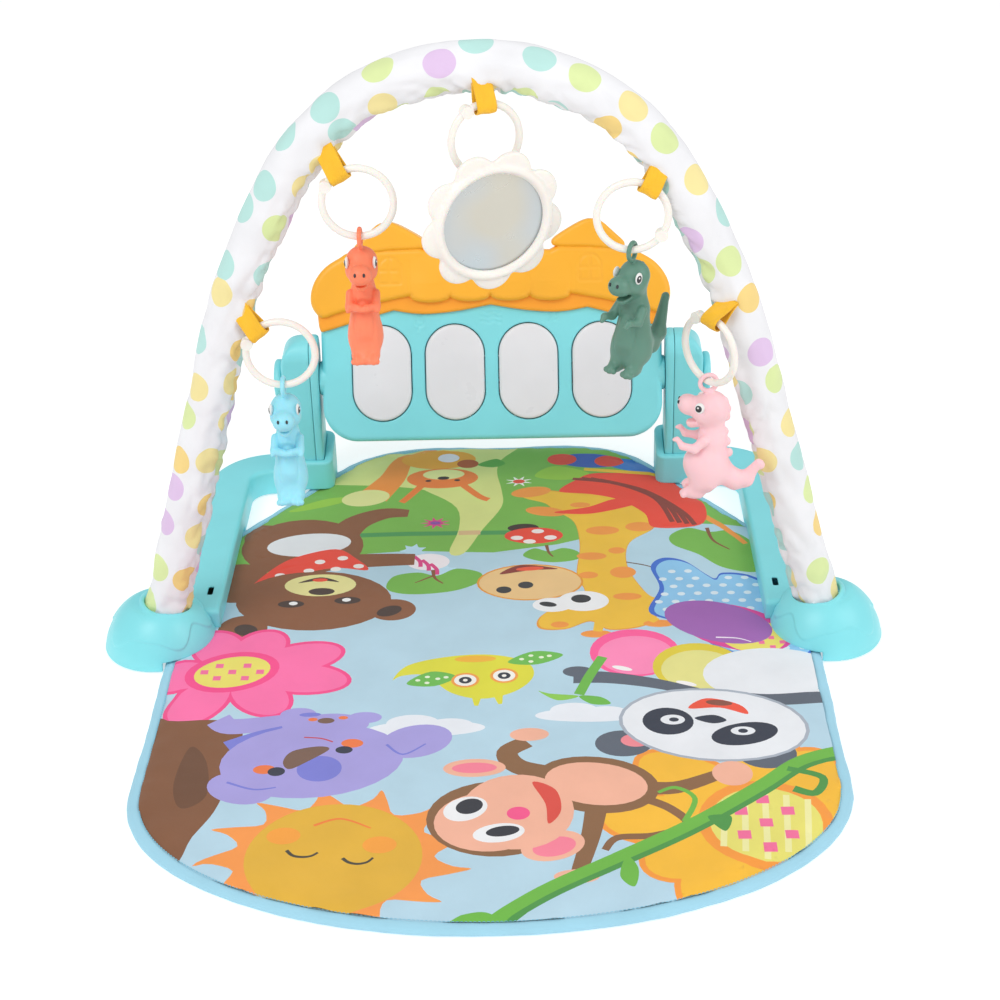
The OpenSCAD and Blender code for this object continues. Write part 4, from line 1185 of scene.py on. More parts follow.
def unroll(obj, rows, columns, row_step, column_step, first):
    """UV coordinates in metres of a grid mesh, whose points are numbered row by row, wall after wall.
    The cloth's joint lies at the column first."""
    layer = obj.data.uv_layers.new(name="flat")
    number = np.empty(len(obj.data.loops), int)
    obj.data.loops.foreach_get("vertex_index", number)
    flat = number % (rows * columns)
    row, column = flat // columns, ((flat % columns - first) % columns).astype(float)
    # a face that crosses the joint keeps its columns in one run
    starts = np.empty(len(obj.data.polygons), int)
    obj.data.polygons.foreach_get("loop_start", starts)
    face = np.repeat(np.arange(len(starts)), np.diff(np.append(starts, len(number))))
    widest = np.zeros(len(starts))
    np.maximum.at(widest, face, column)
    column[(widest[face] > columns * 0.75) & (column < columns * 0.25)] += columns
    spots = np.column_stack([row * row_step, column * column_step])
    layer.data.foreach_set("uv", spots.astype(np.float32).ravel())


def make_sleeve():
    columns = 60
    points, tangents, at = arch_path(2.6 * MM, 35 * MM)
    outer = sleeve_surface(points, tangents, at, columns, SLEEVE_RADIUS - 0.3 * MM, 1.0)
    rows = len(points)
    skin = mesh_object("sleeve_skin", outer.reshape(-1, 3), grid_faces(rows, columns, closed_columns=True))
    ends = [i for i in range(rows * columns) if i < 2 * columns or i >= (rows - 2) * columns]
    seam_column = round(SEAM_ANGLE / (2 * math.pi) * columns)
    seam = [r * columns + seam_column for r in range(rows)]
    settle_cloth(skin, ends + seam, pressure=2, shrink=-0.02, limit=0.5 * MM)
    outer = coords_of(skin).reshape(rows, columns, 3)
    bpy.data.objects.remove(skin)
    middle = points[:, None, :]
    inner = outer - (outer - middle) / np.linalg.norm(outer - middle, axis=2, keepdims=True) * 0.8 * MM
    sleeve = tube_piece("arch_cover", outer, inner)
    paint(sleeve, "sleeve")
    unroll(sleeve, rows, columns, at[1], 2 * math.pi * SLEEVE_RADIUS / columns, seam_column)
    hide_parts("arch_sleeve")
    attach(sleeve, "base")

    points, tangents, at = arch_path(8 * MM, 50 * MM)
    foam = [sleeve_surface(points, tangents, at, 32, r, 0) for r in (PADDING_RADIUS - 3 * MM, 10.4 * MM)]
    padding = tube_piece("arch_foam", *foam)
    paint(padding, "foam")
    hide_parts("arch_padding")
    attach(padding, "base")


# in millimetres: half the webbing's width and thickness, and its bend's radius round the ring
STRAP_HALF_WIDTH, STRAP_HALF_THICK, STRAP_BEND = 7.9, 0.55, 5.2


def make_strap(number, hanger):
    """Webbing folded round a ring, its two ends closing into the sleeve's seam."""
    x, dy, z, turn, yaw, lean, length, _ = hanger
    place = (Matrix.Translation((x * MM, ARCH_Y + dy * MM, z * MM))
             @ Matrix.Rotation(math.radians(yaw), 4, "Z")
             @ Matrix.Rotation(math.radians(turn), 4, "Y")
             @ Matrix.Translation((0, 0, RING_RADIUS))
             @ Matrix.Rotation(math.radians(-lean), 4, "X"))
    bend, low, top = STRAP_BEND, -2.0, length + 3
    centre = []
    for u in np.linspace(top, low, 14)[:-1]:
        close = np.clip((u - low) / (top - low), 0, 1)
        centre.append((-bend + (bend - 0.9) * close * close * (3 - 2 * close), u))
    for a in np.linspace(math.pi, 2 * math.pi, 13):
        centre.append((bend * math.cos(a), low + bend * math.sin(a)))
    centre += [(-u, v) for u, v in centre[12::-1]]
    centre = np.array(centre)
    along = np.gradient(centre, axis=0)
    normal = np.stack([-along[:, 1], along[:, 0]], axis=1) / np.linalg.norm(along, axis=1, keepdims=True)
    gone = np.concatenate([[0], np.cumsum(np.linalg.norm(np.diff(centre, axis=0), axis=1))])
    widths = np.linspace(-1, 1, 17)
    rings, flat = [], []
    for point, out, s in zip(centre, normal, gone):
        edge = 1 - 0.25 * (np.abs(widths) > 0.93) + 0.12 * (np.abs(np.abs(widths) - 0.8) < 0.07)
        sag = 0.25 * np.sin(widths * 4 + s * 0.3)
        for side, order in ((1, widths), (-1, widths[::-1])):
            for w, e, bow in zip(order, edge, sag[::side]):
                u, v = point + out * (side * STRAP_HALF_THICK * e + bow)
                rings.append(place @ Vector((w * STRAP_HALF_WIDTH * MM, u * MM, v * MM)))
                flat.append((w * STRAP_HALF_WIDTH * MM, s * MM))
    columns = 2 * len(widths)
    faces = grid_faces(len(centre), columns, closed_columns=True)
    for first in (0, (len(centre) - 1) * columns):
        for c in range(len(widths) - 1):
            faces.append((first + c, first + c + 1, first + columns - 2 - c, first + columns - 1 - c))
    strap = mesh_object(f"webbing_loop_{number}", rings, faces)
    layer = strap.data.uv_layers.new(name="flat")
    for loop in strap.data.loops:
        layer.data[loop.index].uv = flat[loop.vertex_index]
    paint(strap, "loop")
    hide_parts(f"hang_loop_{number}")
    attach(strap, "base")


# ---------------------------------------------------------------- dinosaurs

def toy_place(hanger):
    """Matrix of a toy's own frame: origin where it hangs on its ring, facing -Y, in millimetres."""
    x, dy, z, *_, yaw = hanger
    spot = (x * MM, ARCH_Y + dy * MM, z * MM - RING_RADIUS)
    return Matrix.Translation(spot) @ Matrix.Rotation(math.radians(yaw), 4, "Z")


# each animal: rise of the snout, opening of the mouth, tail's end, arms, bumps on the back, girth, half the
# distance between its feet
DINOSAURS = {
    "blue_dinosaur": dict(
        hanger=0, look="blue_vinyl", rise=0, mouth=1.2, tail=((0, 34, -88), (0, 45, -66)),
        arms="folded", bumps=2.2, girth=0.82, stance=8),
    "coral_dinosaur": dict(
        hanger=1, look="coral_vinyl", rise=-1, mouth=1.0, tail=((0, 33, -86), (0, 44, -64)),
        arms="folded", bumps=2.2, girth=0.82, stance=8),
    "green_dinosaur": dict(
        hanger=3, look="green_vinyl", rise=0, mouth=3.4, tail=((0, 36, -84), (0, 45.5, -55)),
        arms="out", bumps=2.6, girth=1, stance=8.3),
    "pink_dinosaur": dict(
        hanger=4, look="pink_vinyl", rise=4, mouth=3.6, tail=((0, 33, -88), (0, 43, -72)),
        arms="curled", bumps=3.2, girth=1, stance=8.3),
}
HOOK_FOLLOW = 0.35


def dinosaur_field(pose, hook_turn):
    rise, mouth = pose["rise"], pose["mouth"]

    def field(x, y, z):
        c, s = math.cos(math.radians(hook_turn)), math.sin(math.radians(hook_turn))
        hook = torus(x * c + y * s, -x * s + y * c, z, (0, 0, -1.5), 7, 1.9, 0)
        # the body narrows by the girth below the neck
        x = x / (1 + (pose["girth"] - 1) * np.clip((-36 - z) / 22, 0, 1))
        wide = np.abs(x)
        head = ball(x, y, z, (0, 3.5, -22.5), 11.3, (1.12, 1.05, 1.08))
        head = melt(head, limb(wide, y, z, (5.5, -3, -29), (4.5, 0, -31), 7, 7), 5)
        snout = limb(x, y, z, (0, -2, -26), (0, -14, -27 + rise), 9.2, 8.2)
        snout = melt(snout, ball(x, y, z, (0, -17.5, -25.5 + rise), 7.9, (1.12, 0.95, 0.98)), 3)
        head = melt(head, snout, 5)
        jaw = limb(x, y, z, (0, 0, -34), (0, -13, -36.5 - mouth / 2), 6.5, 4.6)
        gape = ball(x, y, z, (0, -17, -34.3 + rise / 3 - mouth / 5), 9, (0.92, 1.35, 0.09 + mouth / 16))
        head = melt(head, jaw, 3.5)
        head = carve(head, gape, 1.2)
        neck = limb(x, y, z, (0, 6, -32), (0, 4.5, -50), 8.3, 9.6)
        torso = limb(x, y, z, (0, 4, -54), (0, 1.5, -77), 11.6, 16)
        body = melt(melt(head, neck, 4), torso, 7)
        # belly panel inside a fine groove
        oval = (np.hypot(x / 9.6, (z + 73) / 21) - 1) * 9.6
        front = np.clip((-y - 2) / 4, 0, 1)
        body = body + 0.9 * np.exp(-(oval / 0.9) ** 2) * front
        body = melt(body, ball(x, y, z, (0, -1, -91), 11, (1, 1, 1.1)), 5)
        thigh = ball(wide, y, z, (9.5, 0, -86), 10, (0.8, 1.15, 1.1))
        stance = pose["stance"]
        shin = limb(wide, y, z, (stance, -4, -90), (stance, -9, -98), 7, 5.8)
        foot = limb(wide, y, z, (stance, -5, -99.5), (stance, -15, -100), 5, 4.4)
        toes = ball(wide, y, z, (stance, -18.4, -100.6), 2.7)
        for spread in (-3.6, 3.6):
            toes = melt(toes, ball(wide, y, z, (stance + spread, -17.4, -100.8), 2.5), 0.6)
        body = melt(melt(body, thigh, 4), melt(melt(shin, foot, 3), toes, 1.5), 3)
        if pose["arms"] == "folded":
            # the legs stand together as one block
            body = melt(body, limb(x, y, z, (0, -2, -90), (0, -12, -100), 9, 6), 3)
        if pose["arms"] == "curled":
            # a rounder belly and a bigger head
            body = melt(body, ball(x, y, z, (0, -1, -76), 17.5, (0.9, 1.05, 1)), 5)
            body = melt(body, ball(x, y, z, (0, 3, -24), 14, (0.88, 1, 0.92)), 4)
        first, last = pose["tail"]
        tail = melt(limb(x, y, z, (0, 10, -81), (0, 24, -89), 11, 8.2),
                    limb(x, y, z, (0, 24, -89), first, 8.2, 6.2), 4)
        tail = melt(tail, limb(x, y, z, first, last, 6.2, 3.2), 4)
        body = melt(body, tail, 5)
        spine = [(0, 13.5, -17.5), (0, 16, -24), (0, 15.5, -31), (0, 14.5, -45), (0, 16.5, -54),
                 (0, 18.5, -64), tuple(np.add(first, (0, 2.5, 6))), tuple(np.add(last, (0, 2.2, -2)))]
        for spot in spine:
            body = melt(body, ball(x, y, z, spot, pose["bumps"], (0.75, 1, 1.25)), 1.6)
        body = melt(body, arms_field(pose["arms"], wide, y, z), 1.2)
        body = melt(body, hook, 2.4)
        # eye sockets and nostrils, then flat soles
        body = carve(body, ball(wide, y, z, (12.6, -5.2, -20), 4.4, (0.5, 1, 1.25)), 0.7)
        body = carve(body, ball(wide, y, z, (3.7, -24.6, -22.6 + rise), 1.5, (0.8, 1, 1.4)), 0.4)
        return np.maximum(body, -104.4 - z)
    return field


def arms_field(kind, wide, y, z):
    upper = limb(wide, y, z, (11, -1, -49), (13, -9, -56.5), 4.3, 3.7)
    if kind == "folded":
        lower = limb(wide, y, z, (13, -9, -56.5), (4, -14.5, -55.5), 3.6, 3.0)
        hand = limb(wide, y, z, (4, -14.5, -55.5), (0.5, -15.5, -56), 3.1, 2.6)
        claw = ball(wide, y, z, (14.5, -12.5, -58), 2.2)
        return melt(melt(melt(upper, lower, 2), hand, 1), claw, 2)
    if kind == "out":
        lower = limb(wide, y, z, (13, -9, -56.5), (12, -20, -53.5), 3.4, 2.7)
        hand = limb(wide, y, z, (12, -20, -53.5), (11.5, -24, -56), 2.7, 1.7)
        return melt(melt(upper, lower, 2), hand, 1.5)
    lower = limb(wide, y, z, (13, -9, -56.5), (12, -19, -55), 3.6, 3.0)
    hand = limb(wide, y, z, (12, -19, -55), (11.5, -23.5, -49), 3.0, 2.0)
    tip = limb(wide, y, z, (11.5, -23.5, -49), (11.5, -26, -49.5), 2.0, 1.6)
    return melt(melt(melt(upper, lower, 2), hand, 1.5), tip, 1)


def twin_balls(at, r, stretch):
    """Field of a ball and its mirror image across the toy's middle."""
    return lambda x, y, z: ball(np.abs(x), y, z, at, r, stretch)


# corners of the room that the eyes and the nostrils take
EYE_ROOM = ((-16, -11, -26), (16, -1, -14))
NOSTRIL_ROOM = ((-6, -27, -26), (6, -20, -16))


def make_dinosaur(name, pose):
    hanger = HANGERS[pose["hanger"]]
    place = toy_place(hanger)
    hook_turn = HOOK_FOLLOW * (hanger[4] - hanger[7])
    body = sculpt(f"{name}_toy", dinosaur_field(pose, hook_turn), (-20, -29, -105),
                  (20, 50, 9), 0.75, place)
    paint(body, pose["look"])
    bits = {
        "eye_white": ("white_plastic", (11.0, -5.6, -20), 4.1, (0.4, 1, 1.2)),
        "eye": ("black", (11.5, -6.2, -20), 3.1, (0.48, 1, 1.15)),
        "glint": ("white_plastic", (12.7, -7.0, -18.9), 0.95, (0.5, 1, 1)),
        "nostril": ("black", (3.6, -23.6, -22.7 + pose["rise"]), 1.25, (0.8, 1, 1.4)),
    }
    pieces = [body]
    for part, (look, at, r, stretch) in bits.items():
        low, high = NOSTRIL_ROOM if part == "nostril" else EYE_ROOM
        bit = sculpt(f"{name}_{part}", twin_balls(at, r, stretch), low, high, 0.35, place)
        pieces.append(paint(bit, look))
    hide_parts(name)
    for piece in pieces:
        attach(piece, name)


# ---------------------------------------------------------------- mirror

MIRROR_TILT, MIRROR_FORWARD, MIRROR_DROP, MIRROR_RADIUS = 6, 13, 34, 43
PETALS, PETAL_RADIUS, PETAL_RING = 9, 17, 42
# rounded rim round the plate and the finer lip inside it: ring radius, tube radius
BEZEL, LIP = (45.4, 3.5), (42.2, 1.6)
HOLE_RADIUS, PLATE_BACK = 41.2, -1.95


def flower_field(x, y, z):
    """Scalloped flower with a round opening in front and room for the plate behind it."""
    far = np.hypot(x, z)
    petals = far - PETAL_RING
    for i in range(PETALS):
        a = 2 * math.pi * (i + 0.5) / PETALS
        petal = np.hypot(x - PETAL_RING * math.sin(a), z - PETAL_RING * math.cos(a)) - PETAL_RADIUS
        petals = melt(petals, petal, 5)
    # petals puff out between their edges
    puff = 1.3 * np.clip(-petals / 9, 0, 1) ** 0.5
    flower = plate(petals, y + puff, -3.2, 1.9, 2.2)
    bezel = torus(x, y, z, (0, -3.6, 0), *BEZEL, 1)
    lip = torus(x, y, z, (0, -2.6, 0), *LIP, 1)
    flower = melt(melt(flower, bezel, 1.6), lip, 0.6)
    hole = plate(far - HOLE_RADIUS, y, -20, -1.9, 0.4)
    room = plate(far - MIRROR_RADIUS - 0.2, y, PLATE_BACK, 10, 0.1)
    return np.maximum(np.maximum(flower, -hole), -room)


def make_mirror_flower():
    place = (toy_place(HANGERS[2]) @ Matrix.Rotation(math.radians(MIRROR_TILT), 4, "X")
             @ Matrix.Translation((0, -MIRROR_FORWARD * MM, -MIRROR_DROP * MM)))
    flower = sculpt("mirror_flower", flower_field, (-60, -8, -60), (60, 2.5, 60), 0.9, place)
    paint(flower, "ring")
    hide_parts("mirror_frame")
    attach(flower, "mirror_toy")


# ---------------------------------------------------------------- feet and frames

LIFT, WALL = 1.5, 2.5
BAR_X, BAR_WIDTH, BAR_HEIGHT, BAR_BEND = 262, 40, 28, 40
CUP_X, CUP_WIDTH, CUP_DEPTH, CUP_RADIUS, CUP_FRONT, CUP_RISE = 185, 48, 52, 9, 39, 11
POST_X, POST_Y, POST_WIDTH, POST_DEPTH, POST_TOP, POST_BASE = 187.5, 308, 36, 40, 166, 8.5
LATCH_HALF, LATCH_DEPTH = (2.5, 7), 16
POST_SPLIT_X, SPLIT_GAP = 177.5, 0.2
POST_HEAD, SHOULDER_X, SHOULDER_Z, SHOULDER_RADIUS = 20, 179.5, 140, 26
CAP_Z, CAP_RADIUS, CAP_NEAR, CAP_FAR = 120, 20, 205.6, 213.4
# where the arch's legs turn straight
LEG_TOP_X, LEG_TOP_Z = 216.2, 283.1
DOME_WALL, DOME_RIM, LIP_Z, LIP_RADIUS = 2.6, 3, 39, 2.5
# the icing's thickness, the mean height of its drip line and how sharply it steps
ICING, DRIP_HEIGHT, DRIP_EDGE = 0.9, 22, 0.32


def bar_distance(x, y):
    """Distance in plan to the side frame's bar, which runs back from the foot and turns in to the cup."""
    corner_x, corner_y = BAR_X - BAR_BEND, POST_Y - BAR_BEND
    straight = np.where(y < corner_y, np.abs(x - BAR_X), 999)
    across = np.where(x < corner_x, np.abs(y - POST_Y), 999)
    bend = np.where((y >= corner_y) & (x >= corner_x),
                    np.abs(np.hypot(x - corner_x, y - corner_y) - BAR_BEND), 999)
    side = np.minimum(np.minimum(straight, across), bend) - BAR_WIDTH / 2
    return np.maximum(np.maximum(side, ARCH_Y / MM + 8 - y), CUP_X - x)


def box_distance(u, v, middle, half, r):
    """Distance in a plane to a rounded rectangle."""
    du, dv = np.abs(u - middle[0]) - half[0] + r, np.abs(v - middle[1]) - half[1] + r
    return np.minimum(np.maximum(du, dv), 0) + np.hypot(np.maximum(du, 0), np.maximum(dv, 0)) - r


def mat_distance(x, y, z, gap):
    """Distance to the room that the mat's edge takes, seen from one side of the gym."""
    loop = mat_outline() / MM
    return np.maximum(flat_distance(loop[::3], x, y) - gap, z - MAT_THICKNESS / MM - gap)


def frame_field(x, y, z):
    """Right side frame: hollow bar, cup for the post and a slot for the latch."""
    plan = bar_distance(x, y)
    bar = plate(plan, z, -20, BAR_HEIGHT, 4.5)
    rim = CUP_FRONT + CUP_RISE * (y - POST_Y + CUP_DEPTH / 2) / CUP_DEPTH
    cup_plan = box_distance(x, y, (CUP_X, POST_Y), (CUP_WIDTH / 2, CUP_DEPTH / 2), CUP_RADIUS)
    cup = plate(cup_plan, z + BAR_HEIGHT - rim, -30, BAR_HEIGHT, 2.2)
    solid = melt(bar, cup, 3)
    hollow = np.minimum(plate(plan + WALL, z, -20, BAR_HEIGHT - WALL, 2),
                        plate(cup_plan + WALL, z, -20, 6, 1))
    post = box_distance(x, y, (POST_X, POST_Y), (POST_WIDTH / 2 + 0.4, POST_DEPTH / 2 + 0.4), 1.2)
    solid = np.maximum(solid, -hollow)
    solid = carve(solid, np.maximum(post, POST_BASE - z), 0.6)
    latch = box_distance(x, y, (BAR_X - 8, ARCH_Y / MM + 42), LATCH_HALF, 1.2)
    solid = carve(solid, np.maximum(latch, BAR_HEIGHT - LATCH_DEPTH - z), 0.6)
    solid = np.maximum(solid, LIFT - z)
    return np.maximum(solid, -mat_distance(x, y, z, 1))


# how full a foot's bell is: 1 is a cone, 2 an ellipse
BELL_POWER = 1.5


def dome_field(x, y, z):
    """Flared cover round the right leg's foot, open below and cut out over the side frame."""
    centre_x, centre_y = DOME_X / MM, ARCH_Y / MM
    radius, height, collar = DOME_RADIUS / MM, DOME_HEIGHT / MM, COLLAR_RADIUS / MM
    far = np.hypot(x - centre_x, y - centre_y)
    angle = np.arctan2(y - centre_y, x - centre_x)
    up = np.clip(z - LIFT - DOME_RIM, 0, None)
    # bell: a curve between a cone and an ellipse, from the rim to the collar
    across = np.clip(far - collar, 0, None)
    reach = (across / (radius - collar)) ** BELL_POWER + (up / (height - DOME_RIM)) ** BELL_POWER
    bell = (reach ** (1 / BELL_POWER) - 1) * (radius - collar) * 0.8
    bell = np.where(z < LIFT + DOME_RIM, far - radius, bell)
    # icing: thicker above a wavy drip line
    drip = DRIP_HEIGHT + 5.2 * np.cos(5 * angle + 0.6) + 2.4 * np.cos(8 * angle + 2) + LIFT
    bell = bell - ICING * (1 / (1 + np.exp(-(z - drip) / DRIP_EDGE)) - 1)
    # thin raised edge at the bottom
    bell = bell - 0.9 * np.exp(-((z - LIFT - 1.2) / 1.3) ** 2) * 0.6
    bell = np.maximum(bell, z - LIFT - height)
    shell = np.maximum(bell, -(bell + DOME_WALL))
    # rolled lip, which leans with the sleeve
    lean = LEG_LEAN
    leg_x = LEG_TOP_X + (LEG_TOP_Z - z) * math.tan(lean)
    tilt_c, tilt_s = math.cos(lean), math.sin(lean)
    lip_x = LEG_TOP_X + (LEG_TOP_Z - LIP_Z) * math.tan(lean)
    u = (x - lip_x) * tilt_c + (z - LIP_Z) * tilt_s
    w = -(x - lip_x) * tilt_s + (z - LIP_Z) * tilt_c
    lip = torus(u, y, w, (0, centre_y, 0), collar, LIP_RADIUS, 2)
    solid = melt(shell, lip, 2.2)
    bore = np.hypot((x - leg_x) * tilt_c, y - centre_y) - (SLEEVE_RADIUS / MM + 1)
    solid = np.maximum(solid, -bore)
    solid = np.maximum(solid, -np.maximum(bar_distance(x, y) - 0.4, z - BAR_HEIGHT - 0.4))
    solid = np.maximum(solid, LIFT - z)
    return np.maximum(solid, -mat_distance(x, y, z, 1))


def post_field(x, y, z):
    """Right post, both shells together: round shoulder outside and round head."""
    middle, half = (POST_X, (POST_TOP + POST_BASE) / 2), (POST_WIDTH / 2, (POST_TOP - POST_BASE) / 2)
    front = box_distance(x, z, middle, half, 5)
    shoulder = np.hypot(np.maximum(x - SHOULDER_X, 0), np.maximum(z - SHOULDER_Z, 0)) - SHOULDER_RADIUS
    front = np.where((x > SHOULDER_X) & (z > SHOULDER_Z), np.maximum(front, shoulder), front)
    round_head = np.hypot(y - POST_Y, z - POST_TOP + POST_HEAD)
    side = np.where(z > POST_TOP - POST_HEAD, round_head, np.abs(y - POST_Y)) - POST_DEPTH / 2
    return carve(front, -side, 3.5)


def post_outer_field(x, y, z):
    return carve(post_field(x, y, z), x - POST_SPLIT_X - SPLIT_GAP, 0.5)


def post_inner_field(x, y, z):
    return carve(post_field(x, y, z), POST_SPLIT_X - SPLIT_GAP - x, 0.5)


def pivot_cap_field(x, y, z):
    return plate(np.hypot(y - POST_Y, z - CAP_Z) - CAP_RADIUS, x, CAP_NEAR, CAP_FAR, 3.4)


def make_frames():
    for name, side in SIDES:
        place = Matrix.Scale(side, 4, (1, 0, 0))
        pieces = (
            (f"frame_{name}", frame_field, (159, 27, 0), (284, 336, 52), 1.1, "side_frame", "base"),
            (f"dome_{name}", dome_field, (242, -31, 0), (346, 73, 47), 0.8, "foot_dome", "base"),
            (f"post_{name}_outer", post_outer_field, (176, 286, 7),
             (207, 330, 168), 0.9, "post_outer", "stand"),
            (f"post_{name}_inner", post_inner_field, (168, 286, 7),
             (179, 330, 168), 0.9, "post_inner", "stand"),
            (f"pivot_{name}_cap", pivot_cap_field, (204, 287, 99),
             (215, 329, 141), 0.8, "pivot_cap", "stand"),
        )
        for piece_name, field, low, high, step, node_name, body in pieces:
            piece = sculpt(piece_name, field, low, high, step, place)
            paint(piece, "turquoise")
            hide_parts(f"{node_name}_{name}")
            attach(piece, body)


# ---------------------------------------------------------------- piano

def piano_place():
    return Matrix.Translation(PIVOT) @ Matrix.Rotation(-REST_TILT, 4, "X")


CASE_HALF, CASE_LOW, CASE_HIGH, CASE_CORNER = 166, -62, 84, 34
FACE_Y, CASE_BACK_Y = -17, 19
HUB_RADIUS, HUB_END = 17, 169
DOOR_Z, DOOR_HALF = -12, (37, 30)
SPEAKER_X, SPEAKER_RING, HOLE = 96, 12, 2
SCREW_SPOTS, SCREW_Z = (-150, -60, 60, 150), -40
SWITCH_PLACE, SWITCH_HALF = (-96, 20), (7, 3)
KEY_PITCH, KEY_Z, KEY_RADIUS, KEY_HALF, KEY_GAP = 71.5, 4.8, 28.5, 18, 0.8
ROOF_BASE_Y, ROOF_FRONT_Y = -22, -28
TOWER_X, WINDOW_HALF = 96.5, 10.5


def key_distance(x, z, centre_x):
    """Distance in its front plane to a key's long round outline."""
    return np.hypot(x - centre_x, np.maximum(np.abs(z - KEY_Z) - KEY_HALF, 0)) - KEY_RADIUS


def case_distance(x, z):
    """Distance in its front plane to the case's outline, rounder below than above."""
    low = box_distance(x, z, (0, 0), (CASE_HALF, -CASE_LOW), CASE_CORNER)
    high = box_distance(x, z, (0, 40), (CASE_HALF, CASE_HIGH - 40), 12)
    return np.where(z < 10, low, high)


def line_distance(points, u, v):
    """Distance in a plane to an open line of points."""
    best = np.inf
    for (ax, ay), (bx, by) in zip(points, points[1:]):
        ex, ey = bx - ax, by - ay
        t = np.clip(((u - ax) * ex + (v - ay) * ey) / (ex * ex + ey * ey), 0, 1)
        best = np.minimum(best, (u - ax - t * ex) ** 2 + (v - ay - t * ey) ** 2)
    return np.sqrt(best)


def case_marks():
    """Lines moulded into the case above the keys: waves, notes and a curl."""
    lines = []
    for z in (53.5, 58, 62.5):
        lines.append([(x, z + 0.9 * math.sin(x * 0.62)) for x in np.linspace(-9.5, 9.5, 14)])
    curl = [(-70 + (2.2 + 3.4 * t) * math.cos(5.5 * t * math.pi / 2),
             54 + (2.2 + 3.4 * t) * math.sin(5.5 * t * math.pi / 2)) for t in np.linspace(0, 1, 16)]
    lines += [curl, [(-71.5, 46), (-69.5, 66)], [(-69.5, 66), (-66.5, 62.5), (-69.8, 59)]]
    lines += [[(57, 53), (57, 63.5), (64, 65), (64, 54.5)], [(54.2, 52.5), (56.8, 53)],
              [(61.2, 54), (63.8, 54.5)]]
    lines += [[(x, 50 + abs(x) * 0.03), (x + 3.5, 60)] for x in (-160, -155, 128, 133)]
    return lines


def relief(distance):
    """Height of a moulded line at a distance from its middle."""
    return 0.9 * np.exp(-(distance / 0.95) ** 2)


def with_hubs(case, x, y, z):
    """The case with the round hubs at its two ends."""
    hub = np.maximum(np.hypot(y, z) - HUB_RADIUS, np.abs(x) - HUB_END)
    return np.minimum(case, np.maximum(hub, CASE_HALF - 8 - np.abs(x)))


def front_field(x, y, z):
    """Front shell of the case, open for the four keys."""
    flat = case_distance(x, z)
    case = plate(flat, y, FACE_Y, 12, 5.5)
    hollow = plate(flat + WALL, y, FACE_Y + WALL, 20, 3)
    marks = np.inf
    for line in case_marks():
        marks = np.minimum(marks, line_distance(line, x, z))
    case = case + relief(marks)
    for i in range(4):
        key = key_distance(x, z, (i - 1.5) * KEY_PITCH) - KEY_GAP
        case = carve(case, np.maximum(key, y - 5), 0.7)
    return np.maximum(np.maximum(with_hubs(case, x, y, z), -hollow), y + 0.15)


def back_field(x, y, z):
    """Back shell of the case, open for the battery door, speaker, screws and switch."""
    flat = case_distance(x, z)
    case = with_hubs(plate(flat, y, -12, CASE_BACK_Y, 4), x, y, z)
    hollow = plate(flat + WALL, y, -20, CASE_BACK_Y - WALL, 3)
    case = np.maximum(case, -hollow)
    door = box_distance(x, z, (0, DOOR_Z), DOOR_HALF, 0.5)
    case = np.maximum(case, -door)
    for a in map(math.radians, range(0, 360, 45)):
        hole = np.hypot(x - SPEAKER_X - SPEAKER_RING * math.cos(a), z - SPEAKER_RING * math.sin(a)) - HOLE
        case = np.maximum(case, -np.maximum(hole, 4 - y))
    for at in SCREW_SPOTS:
        hole = np.hypot(x - at, z - SCREW_Z) - HOLE
        case = np.maximum(case, -np.maximum(hole, 4 - y))
    slot = box_distance(x, z, SWITCH_PLACE, SWITCH_HALF, 1)
    return np.maximum(np.maximum(case, -np.maximum(slot, 4 - y)), 0.15 - y)


def both_sides(half):
    """Closed outline from its right half, listed from the middle's top round to the middle's bottom."""
    return half + [(-u, v) for u, v in half[::-1] if u > 0]


def arc(middle_x, middle_z, half_width, end):
    """Lower half of a flattened circle: one scallop of the roof's edge, from its right end to its left."""
    return [(middle_x + half_width * math.cos(a), middle_z - 5.5 * math.sin(a))
            for a in np.linspace(0.1, end, 9)]


def roof_field(x, y, z):
    """Roof above its skirt: a puffed upper mass with scallops, and two little tower roofs."""
    wide = np.abs(x)
    shoulder = curve_through([(66, 126), (128, 124), (146, 117), (160, 108), (170, 95), (174, 81),
                              (172, 69), (163, 60), (148, 64), (120, 71), (96, 76),
                              (77.5, 79.5)], 4, closed=False)
    upper = both_sides([(0, 122), (40, 123), (58, 122), (66, 126)] + shoulder
                       + arc(58, 78.5, 19.5, 3.04) + arc(19.3, 79, 19.3, 3.1))
    upper_flat = flat_distance(upper, x, z)
    # the middle hangs in four soft bulges, like a gathered curtain
    lobes = (np.abs(np.sin(math.pi * x / 38.6)) ** 0.6 * np.clip((82 - wide) / 6, 0, 1)
             * np.clip((118 - z) / 26, 0, 1))
    upper_mass = plate(upper_flat, y + 2.0 * lobes, ROOF_FRONT_Y, 11, 5.5)
    cap = curve_through([(60, 128), (62, 133), (74, 141), (90, 149.5), (99, 151), (108, 148.5), (122, 136),
                         (130, 128), (129, 122.5), (122, 121), (96, 124), (66, 125)], 3)
    cap_flat = flat_distance(cap, wide, z)
    caps = plate(cap_flat, y, -30, 12, 4)
    roof = np.minimum(upper_mass, caps)
    # each tower has an arched window with a cross of bars
    window = box_distance(wide, z, (TOWER_X, 101), (WINDOW_HALF, 9), 1)
    arched = np.hypot(wide - TOWER_X, z - 106.5) - WINDOW_HALF
    window = np.minimum(window, np.maximum(arched, 106 - z))
    bars = np.minimum(np.abs(wide - TOWER_X), np.abs(z - 104.5))
    lines = np.minimum(np.abs(window), np.where(window < 0, bars, 9))
    return roof + relief(lines) * (y < -15)


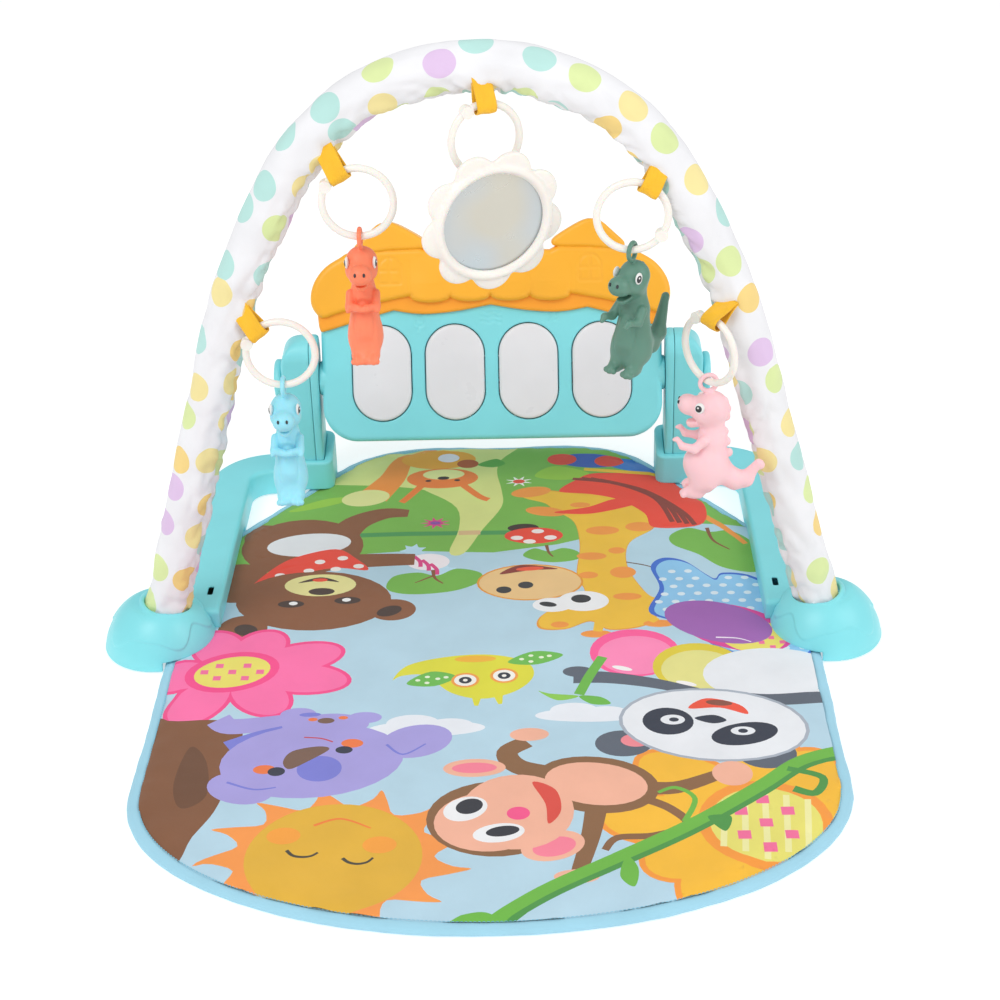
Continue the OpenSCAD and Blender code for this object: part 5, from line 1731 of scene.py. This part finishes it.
def skirt_field(x, y, z):
    """Wavy band under the roof, coloured a darker orange as painted shade under the roof's overhang."""
    skirt = both_sides([(0, 121), (120, 121), (150, 112), (165, 98), (170, 80), (168, 62)]
                       + curve_through([(168, 62), (166, 48), (159, 47.5), (125, 57.5),
                                        (94, 66)], 5, closed=False)
                       + curve_through([(94, 66), (76, 62.8), (58, 62), (30, 64.6),
                                        (0, 70)], 5, closed=False)[1:])
    band = plate(flat_distance(skirt, x, z), y, ROOF_BASE_Y, 11, 3)
    return np.maximum(band, y - FACE_Y + 0.2)


def roof_front_field(x, y, z):
    room = np.maximum(z - CASE_HIGH - 0.5, FACE_Y - 0.2 - y)
    return np.maximum(np.maximum(roof_field(x, y, z), -room), y)


def roof_back_field(x, y, z):
    room = z - CASE_HIGH - 2.5
    return np.maximum(np.maximum(roof_field(x, y, z), -room), 0.2 - y)


def key_field(x, y, z):
    """A key in its own frame, its face puffed towards the middle."""
    flat = key_distance(x, z, 0)
    return plate(flat, y + 1.5 * np.clip(-flat / KEY_RADIUS, 0, 1) ** 0.7, -19, -12.5, 2.4)


def make_piano():
    place = piano_place()
    pieces = (
        ("case_front", front_field, (-170, -18, -63), (170, 0.5, 85), "turquoise", "piano_front_shell"),
        ("case_back", back_field, (-170, -0.5, -64), (170, 20, 86), "turquoise", "piano_back_shell"),
        # the skirt takes the darker orange as painted shade under the roof
        ("roof_skirt", skirt_field, (-176, -25, 44), (176, -15, 124), "orange_painted_shade", "piano_roof_front"),
        ("roof_front", roof_front_field, (-176, -33, 44), (176, 0.5, 153), "orange", "piano_roof_front"),
        ("roof_back", roof_back_field, (-176, -0.5, 80), (176, 16, 153), "orange", "piano_roof_back"),
    )
    for name, field, low, high, look, node_name in pieces:
        piece = sculpt(name, field, low, high, 1.0, place)
        paint(piece, look)
        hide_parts(node_name)
        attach(piece, "piano")
    for i in range(4):
        shift = place @ Matrix.Translation(((i - 1.5) * KEY_PITCH * MM, 0, 0))
        key = sculpt(f"key_cap_{i + 1}", key_field, (-30, -22, -44), (30, -11, 54), 0.8, shift)
        paint(key, "key")
        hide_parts(f"key_{i + 1}")
        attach(key, f"key_{i + 1}")


# ---------------------------------------------------------------- CAD pieces that stay

NODE_LOOKS = {
    "turquoise": ["battery_door"],
    "orange": ["power_switch"],
    "ring": ["hang_ring_1", "hang_ring_2", "hang_ring_3", "hang_ring_4", "hang_ring_5", "mirror_back"],
    "mirror": ["mirror_plate"],
    "steel": ["frame_screws", "post_screws", "case_screws", "pivot_shafts", "battery_contacts", "batteries"],
    "rubber": ["anti_slip_pads", "key_return_pads"],
    "board": ["circuit_board"],
    "black": ["speaker"],
    "white_plastic": ["arch_tube_left", "arch_tube_top", "arch_tube_right", "arch_joining_plugs"],
}

for look, names in NODE_LOOKS.items():
    for name in names:
        paint(NODES[name], look)

studio()
camera()
make_mat()
make_sleeve()
for number, hanger in enumerate(HANGERS, 1):
    make_strap(number, hanger)
for name, pose in DINOSAURS.items():
    make_dinosaur(name, pose)
make_mirror_flower()
make_frames()
make_piano()
